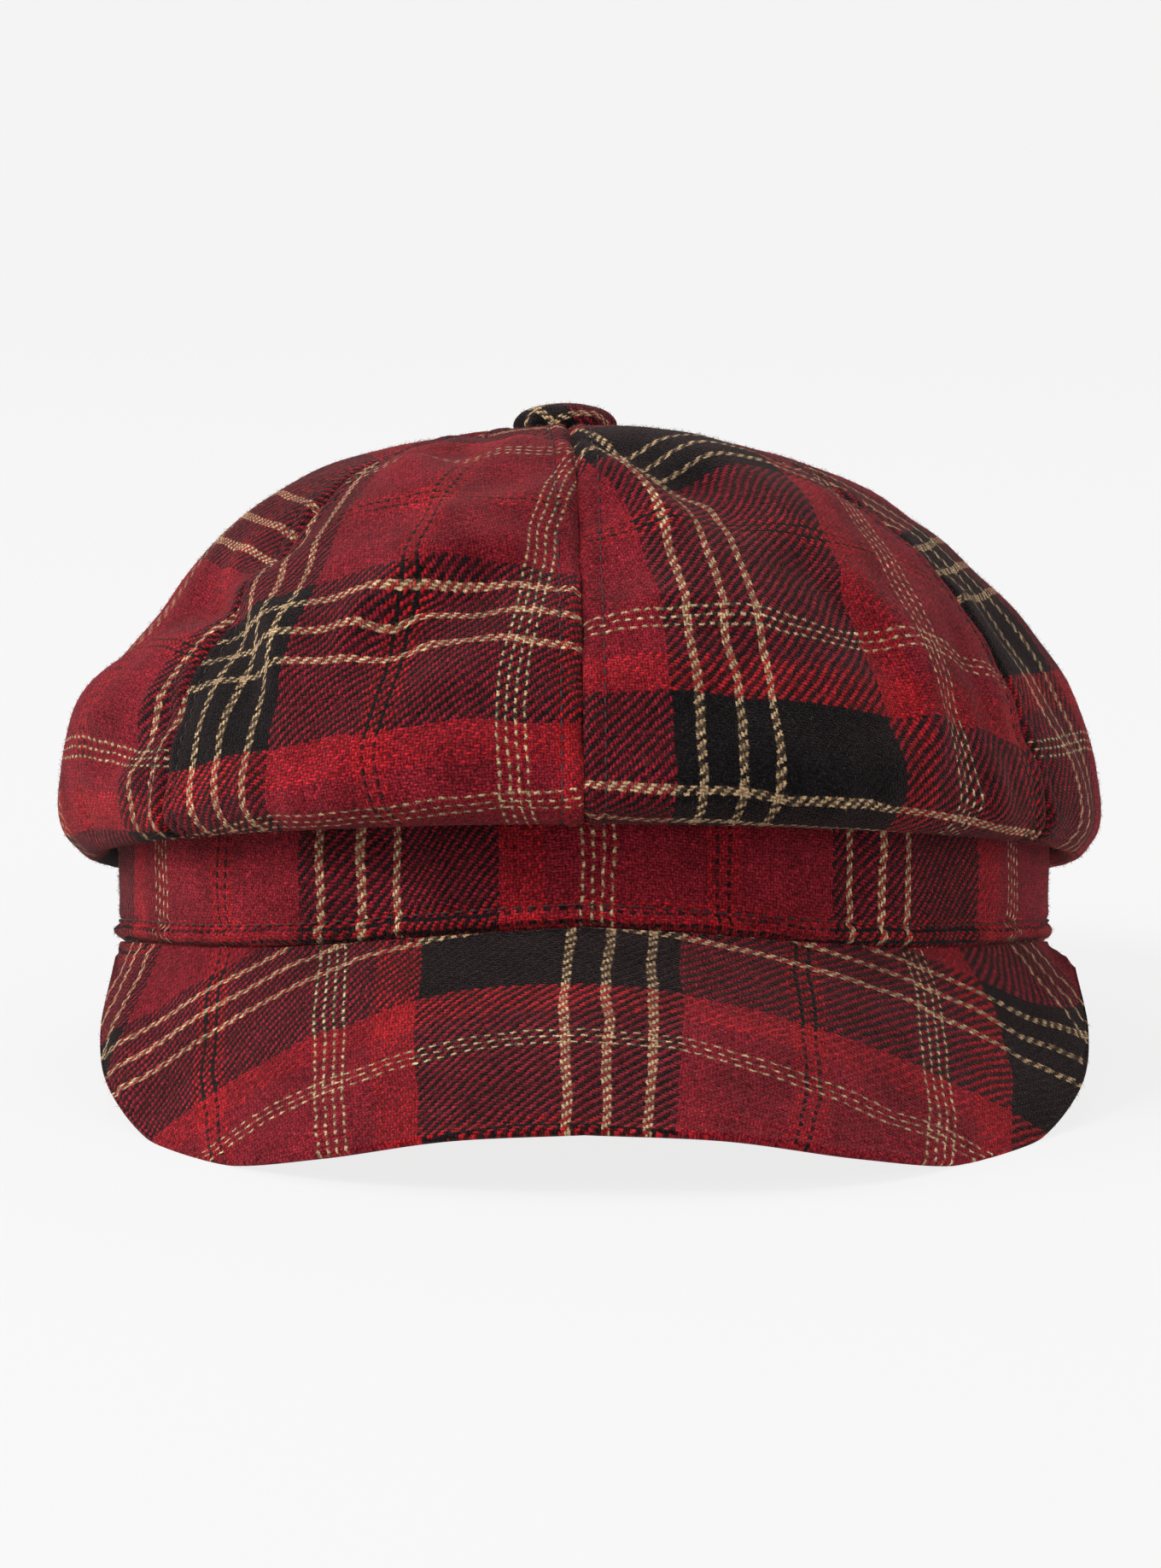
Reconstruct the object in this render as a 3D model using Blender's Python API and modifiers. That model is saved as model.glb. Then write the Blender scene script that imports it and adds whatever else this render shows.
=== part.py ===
"""Baker boy hat: six cloth crown panels, a band, a curved peak and a covered button.

The hat is drawn upright in its own axes, with the head plane (the band's lower edge) at z = 0 and the
peak towards -Y. An empty then leans it back until it lies on z = 0 as it does on a table, on the
corners of its peak and the back of its band.
"""

import math

import bmesh
import bpy
from mathutils import Matrix, Vector

# Lengths are in metres and angles in degrees.
GAP = 0.0003

BAND_HALF_WIDTH = 0.0890
BAND_HALF_LENGTH = 0.0980
BAND_HEIGHT = 0.0260
BAND_WALL = 0.0030
BAND_SOFTNESS = 0.0004
BAND_COLUMNS = 96
BAND_ROWS = 3

CROWN_OVERHANG_SIDE = 0.0087
CROWN_OVERHANG_FRONT = 0.0165
CROWN_OVERHANG_BACK = 0.0230
CROWN_RISE = 0.0730
CROWN_LEAN_TO_LEFT = 0.0036
CROWN_WALL = 0.0020
PANEL_BULGE = 0.0034
PANEL_COLUMNS = 12
PANEL_ROWS = 20

BUTTON_RADIUS = 0.0098
BUTTON_HEIGHT = 0.0058
BUTTON_SEAT_MARGIN = 0.0012
BUTTON_STEPS = 24
STEM_RADIUS = 0.0014
STEM_CLEARANCE = 0.0006

PEAK_REACH = 0.0430
PEAK_DROP = 0.0420
PEAK_FLARE_LEFT = 0.0005
PEAK_FLARE_RIGHT = 0.0044
PEAK_SPAN = 80.0
PEAK_WALL = 0.0030
PEAK_EDGE_WALL = 0.0020
PEAK_END_WALL = 0.0012
PEAK_BOW = 0.0016
PEAK_COLUMNS = 48
PEAK_ROWS = 9

FLOOR_FLATTENING = 0.0016

# Height of the band's lower edge over the head plane, as a share of the band's height,
# by angle from the centre front.
BAND_EDGE = (
    # angle, rise
    (0.0, 0.00),
    (40.0, -0.10),
    (85.0, 0.06),
    (130.0, 0.04),
    (180.0, 0.00),
)

# The crown's section from its apex down, round the lower fold and up behind it to the band's top.
# out is a share of the crown's outline, tuck a share of the way from that outline in to the
# band's outer face, hem a share of the band's wall that the panel's end lies on, and up a share
# of the crown's rise over the band.
CROWN_SECTION = (
    # out, tuck, hem, up
    (0.230, 0.00, 0.00, 0.980),
    (0.378, 0.00, 0.00, 0.925),
    (0.525, 0.00, 0.00, 0.838),
    (0.657, 0.00, 0.00, 0.716),
    (0.774, 0.00, 0.00, 0.570),
    (0.866, 0.00, 0.00, 0.416),
    (0.931, 0.00, 0.00, 0.258),
    (0.973, 0.00, 0.00, 0.100),
    (0.996, 0.00, 0.00, -0.025),
    (0.990, 0.00, 0.00, -0.088),
    (0.985, 0.33, 0.00, -0.122),
    (0.985, 0.73, 0.00, -0.098),
    (0.985, 0.87, 0.00, -0.046),
    (1.000, 0.93, 0.00, 0.000),
    (1.000, 1.00, 0.25, 0.014),
)

# The peak's outer edge from its centre to its end. along is a share of the peak's half span,
# side a share of its half width, forward a share of its distance from the hat's middle,
# and down a share of its drop.
PEAK_EDGE = (
    # along, side, forward, down
    (0.00, 0.000, 1.000, 0.880),
    (0.20, 0.264, 0.979, 0.905),
    (0.40, 0.516, 0.901, 0.976),
    (0.58, 0.714, 0.773, 1.000),
    (0.72, 0.857, 0.638, 0.917),
    (0.84, 0.967, 0.482, 0.667),
    (0.93, 1.000, 0.325, 0.405),
    (1.00, 0.990, 0.175, 0.100),
)

# Seams between neighbouring panels, by angle round the crown from the centre front.
PANELS = (
    # name, from, to
    ("panel_front_right", 0.0, 61.0),
    ("panel_right", 61.0, 120.0),
    ("panel_back_right", 120.0, 180.0),
    ("panel_back_left", 180.0, 242.0),
    ("panel_left", 242.0, 308.0),
    ("panel_front_left", 308.0, 360.0),
)

# Shares of the crown's section between which the panels' fullness and their folds rise from nothing
# beside the button, and between which both end above the lower fold.
FULLNESS_RISES = (0.07, 0.28)
FOLDS_RISE = (0.07, 0.15)
BOTH_END = (0.52, 0.66)
FOLD_SPREADS_UNTIL = 0.45

# Steps in degrees and in shares of the section between which the crown's slope is measured.
ANGLE_STEP = 0.5
SECTION_STEP = 0.004

# Soft folds in the crown. Each is a long dent (depth below zero) or ridge, centred at an angle and
# a share of the section, lying at a heading from the level line, with half lengths as shares of
# the band's half width and depths as shares of the panels' bulge.
FOLDS = (
    # angle, section, heading, length, width, depth
    (345.0, 0.430, -32.0, 0.30, 0.080, -0.90),
    (341.0, 0.365, -32.0, 0.30, 0.085, 0.80),
    (7.0, 0.270, 46.0, 0.22, 0.070, 0.90),
    (17.0, 0.255, 46.0, 0.26, 0.090, -1.50),
    (335.0, 0.190, 80.0, 0.18, 0.090, -0.70),
    (290.0, 0.370, -12.0, 0.34, 0.100, -1.70),
    (284.0, 0.480, 0.0, 0.28, 0.120, 1.00),
    (52.0, 0.520, 85.0, 0.24, 0.060, -0.60),
    (74.0, 0.460, 65.0, 0.26, 0.090, -0.60),
    (118.0, 0.350, -35.0, 0.32, 0.110, -0.90),
    (160.0, 0.420, 40.0, 0.34, 0.110, -0.95),
    (205.0, 0.340, -42.0, 0.34, 0.110, -0.95),
    (243.0, 0.440, 38.0, 0.30, 0.100, -0.80),
)

# Turned section of the button's dome: shares of its radius and height.
BUTTON_SECTION = (
    # out, up
    (0.00, 1.00),
    (0.42, 0.94),
    (0.74, 0.78),
    (0.93, 0.53),
    (1.00, 0.28),
    (0.97, 0.08),
    (0.88, 0.00),
)

# Colour, roughness and metallic value of each cloth piece.
CLOTH = {
    "crown": ((0.250, 0.025, 0.030, 1.0), 0.95, 0.0),
    "band": ((0.200, 0.022, 0.027, 1.0), 0.95, 0.0),
    "peak": ((0.220, 0.026, 0.030, 1.0), 0.95, 0.0),
    "button": ((0.300, 0.150, 0.090, 1.0), 0.95, 0.0),
}


def smooth_step(low, high, value):
    share = min(1.0, max(0.0, (value - low) / (high - low)))
    return share * share * (3.0 - 2.0 * share)


def curve_through(rows, position):
    """Values of a smooth curve through rows whose first column is the position."""
    index = 0
    while index < len(rows) - 2 and position > rows[index + 1][0]:
        index += 1
    start, end = rows[index], rows[index + 1]
    before = rows[index - 1] if index else start
    after = rows[index + 2] if index + 2 < len(rows) else end
    span = end[0] - start[0]
    share = (position - start[0]) / span
    values = []
    for column in range(1, len(start)):
        leave = (end[column] - before[column]) / max(end[0] - before[0], 1e-9) * span
        arrive = (after[column] - start[column]) / max(after[0] - start[0], 1e-9) * span
        values.append(
            (2 * share**3 - 3 * share**2 + 1) * start[column]
            + (share**3 - 2 * share**2 + share) * leave
            + (3 * share**2 - 2 * share**3) * end[column]
            + (share**3 - share**2) * arrive
        )
    return values


def band_outline(angle, inset=0.0):
    """Point of the band's oval, set in along its normal."""
    turn = math.radians(angle)
    on_oval = Vector((BAND_HALF_WIDTH * math.sin(turn), -BAND_HALF_LENGTH * math.cos(turn), 0.0))
    outward = Vector((math.sin(turn) / BAND_HALF_WIDTH, -math.cos(turn) / BAND_HALF_LENGTH, 0.0))
    return on_oval - outward.normalized() * inset


def band_below(rim, inset):
    """Point of the band's oval on the line from the hat's middle to a point of the crown's rim."""
    angle = math.atan2(rim.x / BAND_HALF_WIDTH, -rim.y / BAND_HALF_LENGTH)
    return band_outline(math.degrees(angle), inset)


def band_edge(angle):
    """Height of the band's lower edge."""
    from_front = abs((angle + 180.0) % 360.0 - 180.0)
    return curve_through(BAND_EDGE, from_front)[0] * BAND_HEIGHT


def crown_outline(angle):
    """Point of the crown's widest oval, seen from above."""
    turn = math.radians(angle)
    overhang = CROWN_OVERHANG_FRONT if math.cos(turn) > 0.0 else CROWN_OVERHANG_BACK
    half_width = BAND_HALF_WIDTH + CROWN_OVERHANG_SIDE
    half_length = BAND_HALF_LENGTH + overhang
    return Vector((half_width * math.sin(turn), -half_length * math.cos(turn), 0.0))


def crown_base(angle, section):
    """Point of the smooth crown, without bulges or folds. section runs from 0, the apex, to 1, the band."""
    rim = crown_outline(angle)
    tip = (STEM_RADIUS + STEM_CLEARANCE) / rim.length
    seat = (BUTTON_RADIUS + BUTTON_SEAT_MARGIN) / rim.length
    stations = [(tip, 0.0, 0.0, 1.0), (seat, 0.0, 0.0, 1.0), *CROWN_SECTION, (1.0, 1.0, 1.0, 0.0)]
    rows = [(index / (len(stations) - 1), *row) for index, row in enumerate(stations)]
    out, tuck, hem, up = curve_through(rows, section)
    beside_band = band_below(rim, -GAP)
    band_inner = band_below(rim, BAND_WALL)
    point = rim * out + (beside_band - rim * out) * tuck + (band_inner - beside_band) * hem
    point.x -= CROWN_LEAN_TO_LEFT * (1.0 - out) * (1.0 - tuck)
    point.z = BAND_HEIGHT + GAP + CROWN_RISE * up
    return point


def crown_around(angle, section):
    """Direction round the smooth crown."""
    return (crown_base(angle + ANGLE_STEP, section) - crown_base(angle - ANGLE_STEP, section)).normalized()


def crown_normal(angle, section):
    """Outward normal of the smooth crown."""
    low, high = max(0.0, section - SECTION_STEP), min(1.0, section + SECTION_STEP)
    down = crown_base(angle, high) - crown_base(angle, low)
    return down.cross(crown_around(angle, section)).normalized()


def fold_height(angle, section):
    """Height of the crown's soft folds at a point, over the smooth crown."""
    height = 0.0
    for fold_angle, fold_section, heading, length, width, depth in FOLDS:
        turned = math.radians((angle - fold_angle + 180.0) % 360.0 - 180.0)
        radius = crown_outline(fold_angle).length
        across_crown = turned * radius * smooth_step(0.0, FOLD_SPREADS_UNTIL, section)
        down_crown = (section - fold_section) * (radius + CROWN_RISE)
        lean = math.radians(heading)
        along = across_crown * math.cos(lean) + down_crown * math.sin(lean)
        across = down_crown * math.cos(lean) - across_crown * math.sin(lean)
        far = (along / (length * BAND_HALF_WIDTH)) ** 2 + (across / (width * BAND_HALF_WIDTH)) ** 2
        height += depth * PANEL_BULGE * math.exp(-far)
    return height * smooth_step(*FOLDS_RISE, section) * (1.0 - smooth_step(*BOTH_END, section))


def panel_place(start, end):
    """Placing function of the panel between two seam angles."""

    def place(across, down, depth):
        angle = start + (end - start) * across
        normal = crown_normal(angle, down)
        fullness = smooth_step(*FULLNESS_RISES, down) * (1.0 - smooth_step(*BOTH_END, down))
        bulge = PANEL_BULGE * fullness * math.sin(math.pi * across)
        seam_gap = crown_around(angle, down) * GAP * (0.5 - across)
        height = bulge + fold_height(angle, down) - CROWN_WALL * depth
        return crown_base(angle, down) + normal * height + seam_gap

    return place


def band_place(across, down, depth):
    """Placing function of the band, whose ends meet at the centre back."""
    angle = -180.0 + 360.0 * across
    top, bottom = BAND_HEIGHT, band_edge(angle)
    roundness = BAND_SOFTNESS * math.sin(math.pi * down)
    point = band_outline(angle, BAND_WALL * depth - roundness)
    point.x += GAP * (across - 0.5)
    point.z = top + (bottom - top) * down
    return point


def peak_outer_edge(along):
    """Point of the peak's outer edge. along runs from -1, the left end, to 1, the right end."""
    side, forward, down = curve_through(PEAK_EDGE, abs(along))
    flare = PEAK_FLARE_RIGHT if along > 0.0 else PEAK_FLARE_LEFT
    half_width = BAND_HALF_WIDTH + flare
    return Vector((
        math.copysign(side * half_width, along),
        -forward * (BAND_HALF_LENGTH + PEAK_REACH),
        -down * PEAK_DROP,
    ))


def peak_top(along, out):
    """Point of the peak's upper face. out is 0 at the band's outer face, 1 at the peak's edge, and less
    than 0 on the strip under the band."""
    angle = along * PEAK_SPAN
    level = band_edge(angle) - GAP
    root = band_outline(angle)
    root.z = level
    if out < 0.0:
        inner = band_outline(angle, BAND_WALL)
        inner.z = level
        return root + (inner - root) * min(1.0, -out)
    edge = peak_outer_edge(along)
    line = edge - root
    outward = Vector((line.x, line.y, 0.0)).normalized()
    crown = Vector((0.0, 0.0, 1.0)) * 0.7 + outward * 0.7
    fullness = math.sin(math.pi * out) * (1.0 - along**4)
    return root + line * out + crown * PEAK_BOW * fullness


def peak_normal(along, out):
    """Upward normal of the peak's upper face, beyond the crease at the band."""
    step = 0.03
    outward = peak_top(along, min(1.0, out + step)) - peak_top(along, max(0.0, out - step))
    beside = peak_top(min(1.0, along + step), out) - peak_top(max(-1.0, along - step), out)
    normal = outward.cross(beside).normalized()
    return normal if normal.z > 0.0 else -normal


def peak_wall(along, out):
    """Way from the peak's upper face to its underside. Under the crease at the band it is mitred."""
    level = Vector((0.0, 0.0, 1.0))
    slope = peak_normal(along, 0.0)
    wall = PEAK_WALL + (PEAK_END_WALL - PEAK_WALL) * along**8
    edge_wall = PEAK_EDGE_WALL + (PEAK_END_WALL - PEAK_EDGE_WALL) * along**8
    at_crease = (level + slope) * wall / (1.0 + level.dot(slope))
    if out < 0.0:
        return at_crease.lerp(level * wall, -out)
    return at_crease.lerp(peak_normal(along, 1.0) * edge_wall, out)


def peak_place(across, down, depth):
    """Placing function of the peak. The first row of its grid lies under the band."""
    along = 2.0 * across - 1.0
    under_band = 1.0 / PEAK_ROWS
    out = (down - under_band) / (1.0 - under_band) if down > under_band + 1e-6 else down / under_band - 1.0
    return peak_top(along, out) - peak_wall(along, out) * depth


def lean_of(points):
    """Angle by which the hat leans back so that its front and its back touch the floor together."""
    low, high = 0.0, math.radians(45.0)
    for _ in range(40):
        lean = (low + high) / 2.0
        lying = [Matrix.Rotation(-lean, 4, "X") @ point for point in points]
        front = min(point.z for point in lying if point.y < 0.0)
        back = min(point.z for point in lying if point.y >= 0.0)
        low, high = (lean, high) if front < back else (low, lean)
    return lean


def resting_matrix():
    """Turn and height that lay the hat on its peak's corners and the back of its band."""
    steps = range(PEAK_COLUMNS + 1)
    rests = [peak_place(step / PEAK_COLUMNS, 1.0, 1.0) for step in steps]
    rests += [band_place(step / BAND_COLUMNS, 1.0, 0.0) for step in range(BAND_COLUMNS + 1)]
    turn = Matrix.Rotation(-lean_of(rests), 4, "X")
    lowest = min((turn @ point).z for point in rests)
    return Matrix.Translation((0.0, 0.0, -lowest - FLOOR_FLATTENING)) @ turn


def cloth_material(name):
    colour, roughness, metallic = CLOTH[name]
    material = bpy.data.materials.new(name + "_cloth")
    material.use_nodes = True
    shader = material.node_tree.nodes["Principled BSDF"]
    shader.inputs["Base Color"].default_value = colour
    shader.inputs["Roughness"].default_value = roughness
    shader.inputs["Metallic"].default_value = metallic
    return material


def add_object(name, mesh, material, collection, parent):
    mesh.materials.append(material)
    made = bpy.data.objects.new(name, mesh)
    collection.objects.link(made)
    made.parent = parent
    return made


def cloth_mesh(name, columns, rows, place, resting):
    """A sheet of cloth with a wall: a grid, thickened to a slab, whose points are then placed.

    What would lie under the floor is flattened on it, as soft cloth is."""
    sheet = bmesh.new()
    bmesh.ops.create_grid(sheet, x_segments=columns, y_segments=rows, size=0.5)
    lifted = bmesh.ops.extrude_face_region(sheet, geom=sheet.faces[:])["geom"]
    for part in lifted:
        if isinstance(part, bmesh.types.BMVert):
            part.co.z = 1.0
    lay = resting.inverted()
    for vertex in sheet.verts:
        across, down, depth = vertex.co.x + 0.5, 0.5 - vertex.co.y, 1.0 - vertex.co.z
        lying = resting @ place(across, down, depth)
        lying.z = max(0.0, lying.z)
        vertex.co = lay @ lying
    bmesh.ops.recalc_face_normals(sheet, faces=sheet.faces[:])
    mesh = bpy.data.meshes.new(name)
    sheet.to_mesh(mesh)
    sheet.free()
    mesh.shade_smooth()
    mesh.set_sharp_from_angle(angle=math.radians(50.0))
    return mesh


def make_button(collection, parent, material):
    """The covered button, turned about the crown's apex, with its stem through the panels' tips."""
    profile = [(out * BUTTON_RADIUS, 0.0, up * BUTTON_HEIGHT) for out, up in BUTTON_SECTION]
    stem_end = -GAP - CROWN_WALL
    profile += [(STEM_RADIUS, 0.0, 0.0), (STEM_RADIUS, 0.0, stem_end), (0.0, 0.0, stem_end)]
    mesh = bpy.data.meshes.new("button")
    mesh.from_pydata(profile, [(i, i + 1) for i in range(len(profile) - 1)], [])
    button = add_object("button", mesh, material, collection, parent)
    button.location = (-CROWN_LEAN_TO_LEFT, 0.0, BAND_HEIGHT + GAP + CROWN_RISE + GAP)
    screw = button.modifiers.new("turn", "SCREW")
    screw.steps = BUTTON_STEPS
    screw.render_steps = BUTTON_STEPS
    screw.use_merge_vertices = True
    screw.merge_threshold = 0.00001
    screw.use_smooth_shade = True
    return button


def centre_on_origin(parent, pieces):
    """Slides the lying hat so that its box is centred over the origin."""
    points = [parent.matrix_basis @ vertex.co for piece in pieces for vertex in piece.data.vertices]
    for axis in range(2):
        values = [point[axis] for point in points]
        parent.location[axis] -= (min(values) + max(values)) / 2.0


def build():
    for old in list(bpy.data.objects):
        bpy.data.objects.remove(old)
    collection = bpy.data.collections.new("baker_boy_hat")
    bpy.context.scene.collection.children.link(collection)
    lying = bpy.data.objects.new("lying", None)
    collection.objects.link(lying)
    resting = resting_matrix()
    lying.matrix_basis = resting
    materials = {name: cloth_material(name) for name in CLOTH}

    pieces = []
    for name, start, end in PANELS:
        mesh = cloth_mesh(name, PANEL_COLUMNS, PANEL_ROWS, panel_place(start, end), resting)
        pieces.append(add_object(name, mesh, materials["crown"], collection, lying))
    mesh = cloth_mesh("band", BAND_COLUMNS, BAND_ROWS, band_place, resting)
    pieces.append(add_object("band", mesh, materials["band"], collection, lying))
    mesh = cloth_mesh("peak", PEAK_COLUMNS, PEAK_ROWS, peak_place, resting)
    pieces.append(add_object("peak", mesh, materials["peak"], collection, lying))
    centre_on_origin(lying, pieces)
    make_button(collection, lying, materials["button"])


build()
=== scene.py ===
import math

import bpy
import numpy as np
from mathutils import Matrix, Vector


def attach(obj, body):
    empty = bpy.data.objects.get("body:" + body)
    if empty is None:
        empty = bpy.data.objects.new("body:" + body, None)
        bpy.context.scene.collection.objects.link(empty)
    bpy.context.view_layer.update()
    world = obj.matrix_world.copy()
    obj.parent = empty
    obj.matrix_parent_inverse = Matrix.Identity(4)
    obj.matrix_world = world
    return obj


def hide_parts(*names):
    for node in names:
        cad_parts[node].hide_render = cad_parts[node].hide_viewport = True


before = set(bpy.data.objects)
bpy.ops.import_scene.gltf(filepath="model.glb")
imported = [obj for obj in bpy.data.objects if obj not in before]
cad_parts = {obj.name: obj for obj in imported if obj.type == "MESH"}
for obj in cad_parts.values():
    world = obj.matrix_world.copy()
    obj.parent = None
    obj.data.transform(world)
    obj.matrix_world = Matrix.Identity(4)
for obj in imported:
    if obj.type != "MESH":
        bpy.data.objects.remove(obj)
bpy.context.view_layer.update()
print("frame loaded")

# Lengths are in metres and angles in degrees, unless a name ends in Mm.
# The hat is worked out upright, its head plane at z = 0 and its peak towards -Y, and then laid down.
hat = {"gap": 0.0003, "lean": 12.079873, "place": (0.0001771, 0.0113753, 0.018909)}

lying = Matrix.Translation(hat["place"]) @ Matrix.Rotation(math.radians(-hat["lean"]), 4, "X")
turnToWorld = np.array(lying.to_3x3())
moveToWorld = np.array(lying.translation)


# World places of upright points, with nothing under the floor.
def laid(points):
    world = points @ turnToWorld.T + moveToWorld
    world[..., 2] = np.maximum(world[..., 2], 0.0)
    return world


def smoothStep(low, high, value):
    share = np.clip((value - low) / (high - low), 0.0, 1.0)
    return share * share * (3.0 - 2.0 * share)


def unit(vectors):
    return vectors / np.maximum(np.linalg.norm(vectors, axis=-1, keepdims=True), 1e-12)


def hermite(before, start, end, after, share, spanBefore, span, spanAfter):
    leave = (end - before) / (spanBefore + span) * span
    arrive = (after - start) / (span + spanAfter) * span
    return (
        (2 * share**3 - 3 * share**2 + 1) * start
        + (share**3 - 2 * share**2 + share) * leave
        + (3 * share**2 - 2 * share**3) * end
        + (share**3 - share**2) * arrive
    )


# Smooth curve through rows whose first column is the position.
def curveThrough(rows, position):
    rows = np.asarray(rows, float)
    position = np.asarray(position, float)
    last = len(rows) - 1
    index = np.searchsorted(rows[1:-1, 0], position, side="left")
    before, start = rows[np.maximum(index - 1, 0)], rows[index]
    end, after = rows[index + 1], rows[np.minimum(index + 2, last)]
    span = (end - start)[..., :1]
    share = (position[..., None] - start[..., :1]) / span
    spans = ((start - before)[..., :1], span, (after - end)[..., :1])
    return hermite(before, start, end, after, share, *spans)[..., 1:]


# Smooth uneven surface of about that wavelength, between about -1 and 1.
def ripple(x, y, wavelength, seed, waves=5):
    draw = np.random.default_rng(seed)
    total = 0.0
    for _ in range(waves):
        heading, phase = draw.uniform(0, 2 * math.pi, 2)
        length = wavelength * draw.uniform(0.75, 1.5)
        wave = 2 * math.pi / length * (x * math.cos(heading) + y * math.sin(heading)) + phase
        total = total + np.sin(wave)
    return total / math.sqrt(waves) / 1.2


# A cloth piece whose first vertices are its outside.
def clothObject(name, points, faces, place, outsideCount, material):
    mesh = bpy.data.meshes.new(name)
    mesh.from_pydata(laid(points).tolist(), [], faces)
    mesh.attributes.new("cloth", "FLOAT_VECTOR", "POINT").data.foreach_set("vector", place.ravel())
    outside = np.zeros(len(points))
    outside[:outsideCount] = 1.0
    mesh.attributes.new("outside", "FLOAT", "POINT").data.foreach_set("value", outside)
    mesh.polygons.foreach_set("use_smooth", [True] * len(faces))
    mesh.materials.append(material)
    piece = bpy.data.objects.new(name, mesh)
    bpy.context.scene.collection.objects.link(piece)
    print(name, "faces", len(faces))
    return piece


# A wall of cloth between two grids of points, with rims and the weave's place on each vertex.
def clothMesh(name, outer, inner, cloth, material):
    rows, columns = outer.shape[:2]
    points = np.concatenate([outer.reshape(-1, 3), inner.reshape(-1, 3)])
    index = np.arange(rows * columns).reshape(rows, columns)
    other = index + rows * columns

    def quads(*corners):
        return np.stack([corner.ravel() for corner in corners], -1)

    faces = np.concatenate([
        quads(index[:-1, :-1], index[1:, :-1], index[1:, 1:], index[:-1, 1:]),
        quads(other[:-1, :-1], other[:-1, 1:], other[1:, 1:], other[1:, :-1]),
        quads(index[0, :-1], index[0, 1:], other[0, 1:], other[0, :-1]),
        quads(index[-1, 1:], index[-1, :-1], other[-1, :-1], other[-1, 1:]),
        quads(index[1:, 0], index[:-1, 0], other[:-1, 0], other[1:, 0]),
        quads(index[:-1, -1], index[1:, -1], other[1:, -1], other[:-1, -1]),
    ])
    place = np.zeros((len(points), 3))
    place[:, :2] = np.concatenate([cloth.reshape(-1, 2)] * 2)
    return clothObject(name, points, faces.tolist(), place, rows * columns, material)


# Area of one side of a grid of points.
def wallArea(points):
    down, along = np.diff(points, axis=0)[:, :-1], np.diff(points, axis=1)[:-1]
    return float(np.linalg.norm(np.cross(down, along), axis=-1).sum())


band = {
    "halfWidth": 0.0890, "halfLength": 0.0980, "height": 0.0260, "wall": 0.0030, "softness": 0.0004,
    "columns": 480, "rows": 30, "edgeRows": 7, "edgeShare": 0.06, "stitchLine": 0.0038, "arcMm": 93,
    "weftMm": 59.0,
    # Relief in mm: height, then half width or wavelength and seed. The spans are heights over the lower edge.
    "line": (-0.60, 0.8), "puff": (0.80, 9.0, 21), "puffRises": (0.0, 1.6), "puffFalls": (2.2, 3.6),
    "puffUneven": 0.4, "dimple": (0.12, 1.4), "slack": (0.35, 34.0, 22), "slackRises": (4.0, 10.0),
    "sunkMm": 0.35,
    # angle, rise: height of the lower edge over the head plane as a share of the band's height
    "edge": ((0, 0.00), (40, -0.10), (85, 0.06), (130, 0.04), (180, 0.00)),
}

crown = {
    "overhangSide": 0.0087, "overhangFront": 0.0165, "overhangBack": 0.0230, "rise": 0.0730,
    "leanToLeft": 0.0036, "wall": 0.0020, "bulge": 0.0034, "tip": 0.0020, "seat": 0.0110,
    "fullnessRises": (0.07, 0.28), "foldsRise": (0.07, 0.15), "bothEnd": (0.52, 0.66), "foldSpreads": 0.45,
    "angleStep": 0.5, "sectionStep": 0.004, "columns": 104, "rows": 150, "spacing": (0.45, 0.55),
    "chartColumns": 15, "chartRows": 31, "foot": 0.62, "meridianSteps": 400, "arcMm": 113,
    # out, tuck, hem, up, from the apex to the band. The first two stand at the tip and the seat.
    "section": (
        (0.0, 0.0, 0.0, 1.0), (0.0, 0.0, 0.0, 1.0), (0.230, 0.0, 0.0, 0.980), (0.378, 0.0, 0.0, 0.925),
        (0.525, 0.0, 0.0, 0.838), (0.657, 0.0, 0.0, 0.716), (0.774, 0.0, 0.0, 0.570),
        (0.866, 0.0, 0.0, 0.416), (0.931, 0.0, 0.0, 0.258), (0.973, 0.0, 0.0, 0.100),
        (0.996, 0.0, 0.0, -0.025), (0.990, 0.0, 0.0, -0.088), (0.985, 0.33, 0.0, -0.122),
        (0.985, 0.73, 0.0, -0.098), (0.985, 0.87, 0.0, -0.046), (1.0, 0.93, 0.0, 0.0),
        (1.0, 1.0, 0.25, 0.014), (1.0, 1.0, 1.0, 0.0),
    ),
    # name, from, to
    "gores": (
        ("panel_front_right", 0.0, 61.0), ("panel_right", 61.0, 120.0), ("panel_back_right", 120.0, 180.0),
        ("panel_back_left", 180.0, 242.0), ("panel_left", 242.0, 308.0), ("panel_front_left", 308.0, 360.0),
    ),
    # angle, section, heading, length, width, depth
    "folds": (
        (345, 0.430, -32, 0.30, 0.080, -0.90), (341, 0.365, -32, 0.30, 0.085, 0.80),
        (7, 0.270, 46, 0.22, 0.070, 0.90), (17, 0.255, 46, 0.26, 0.090, -1.50),
        (335, 0.190, 80, 0.18, 0.090, -0.70), (290, 0.370, -12, 0.34, 0.100, -1.70),
        (284, 0.480, 0, 0.28, 0.120, 1.00), (52, 0.520, 85, 0.24, 0.060, -0.60),
        (74, 0.460, 65, 0.26, 0.090, -0.60), (118, 0.350, -35, 0.32, 0.110, -0.90),
        (160, 0.420, 40, 0.34, 0.110, -0.95), (205, 0.340, -42, 0.34, 0.110, -0.95),
        (243, 0.440, 38, 0.30, 0.100, -0.80),
    ),
}

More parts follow.
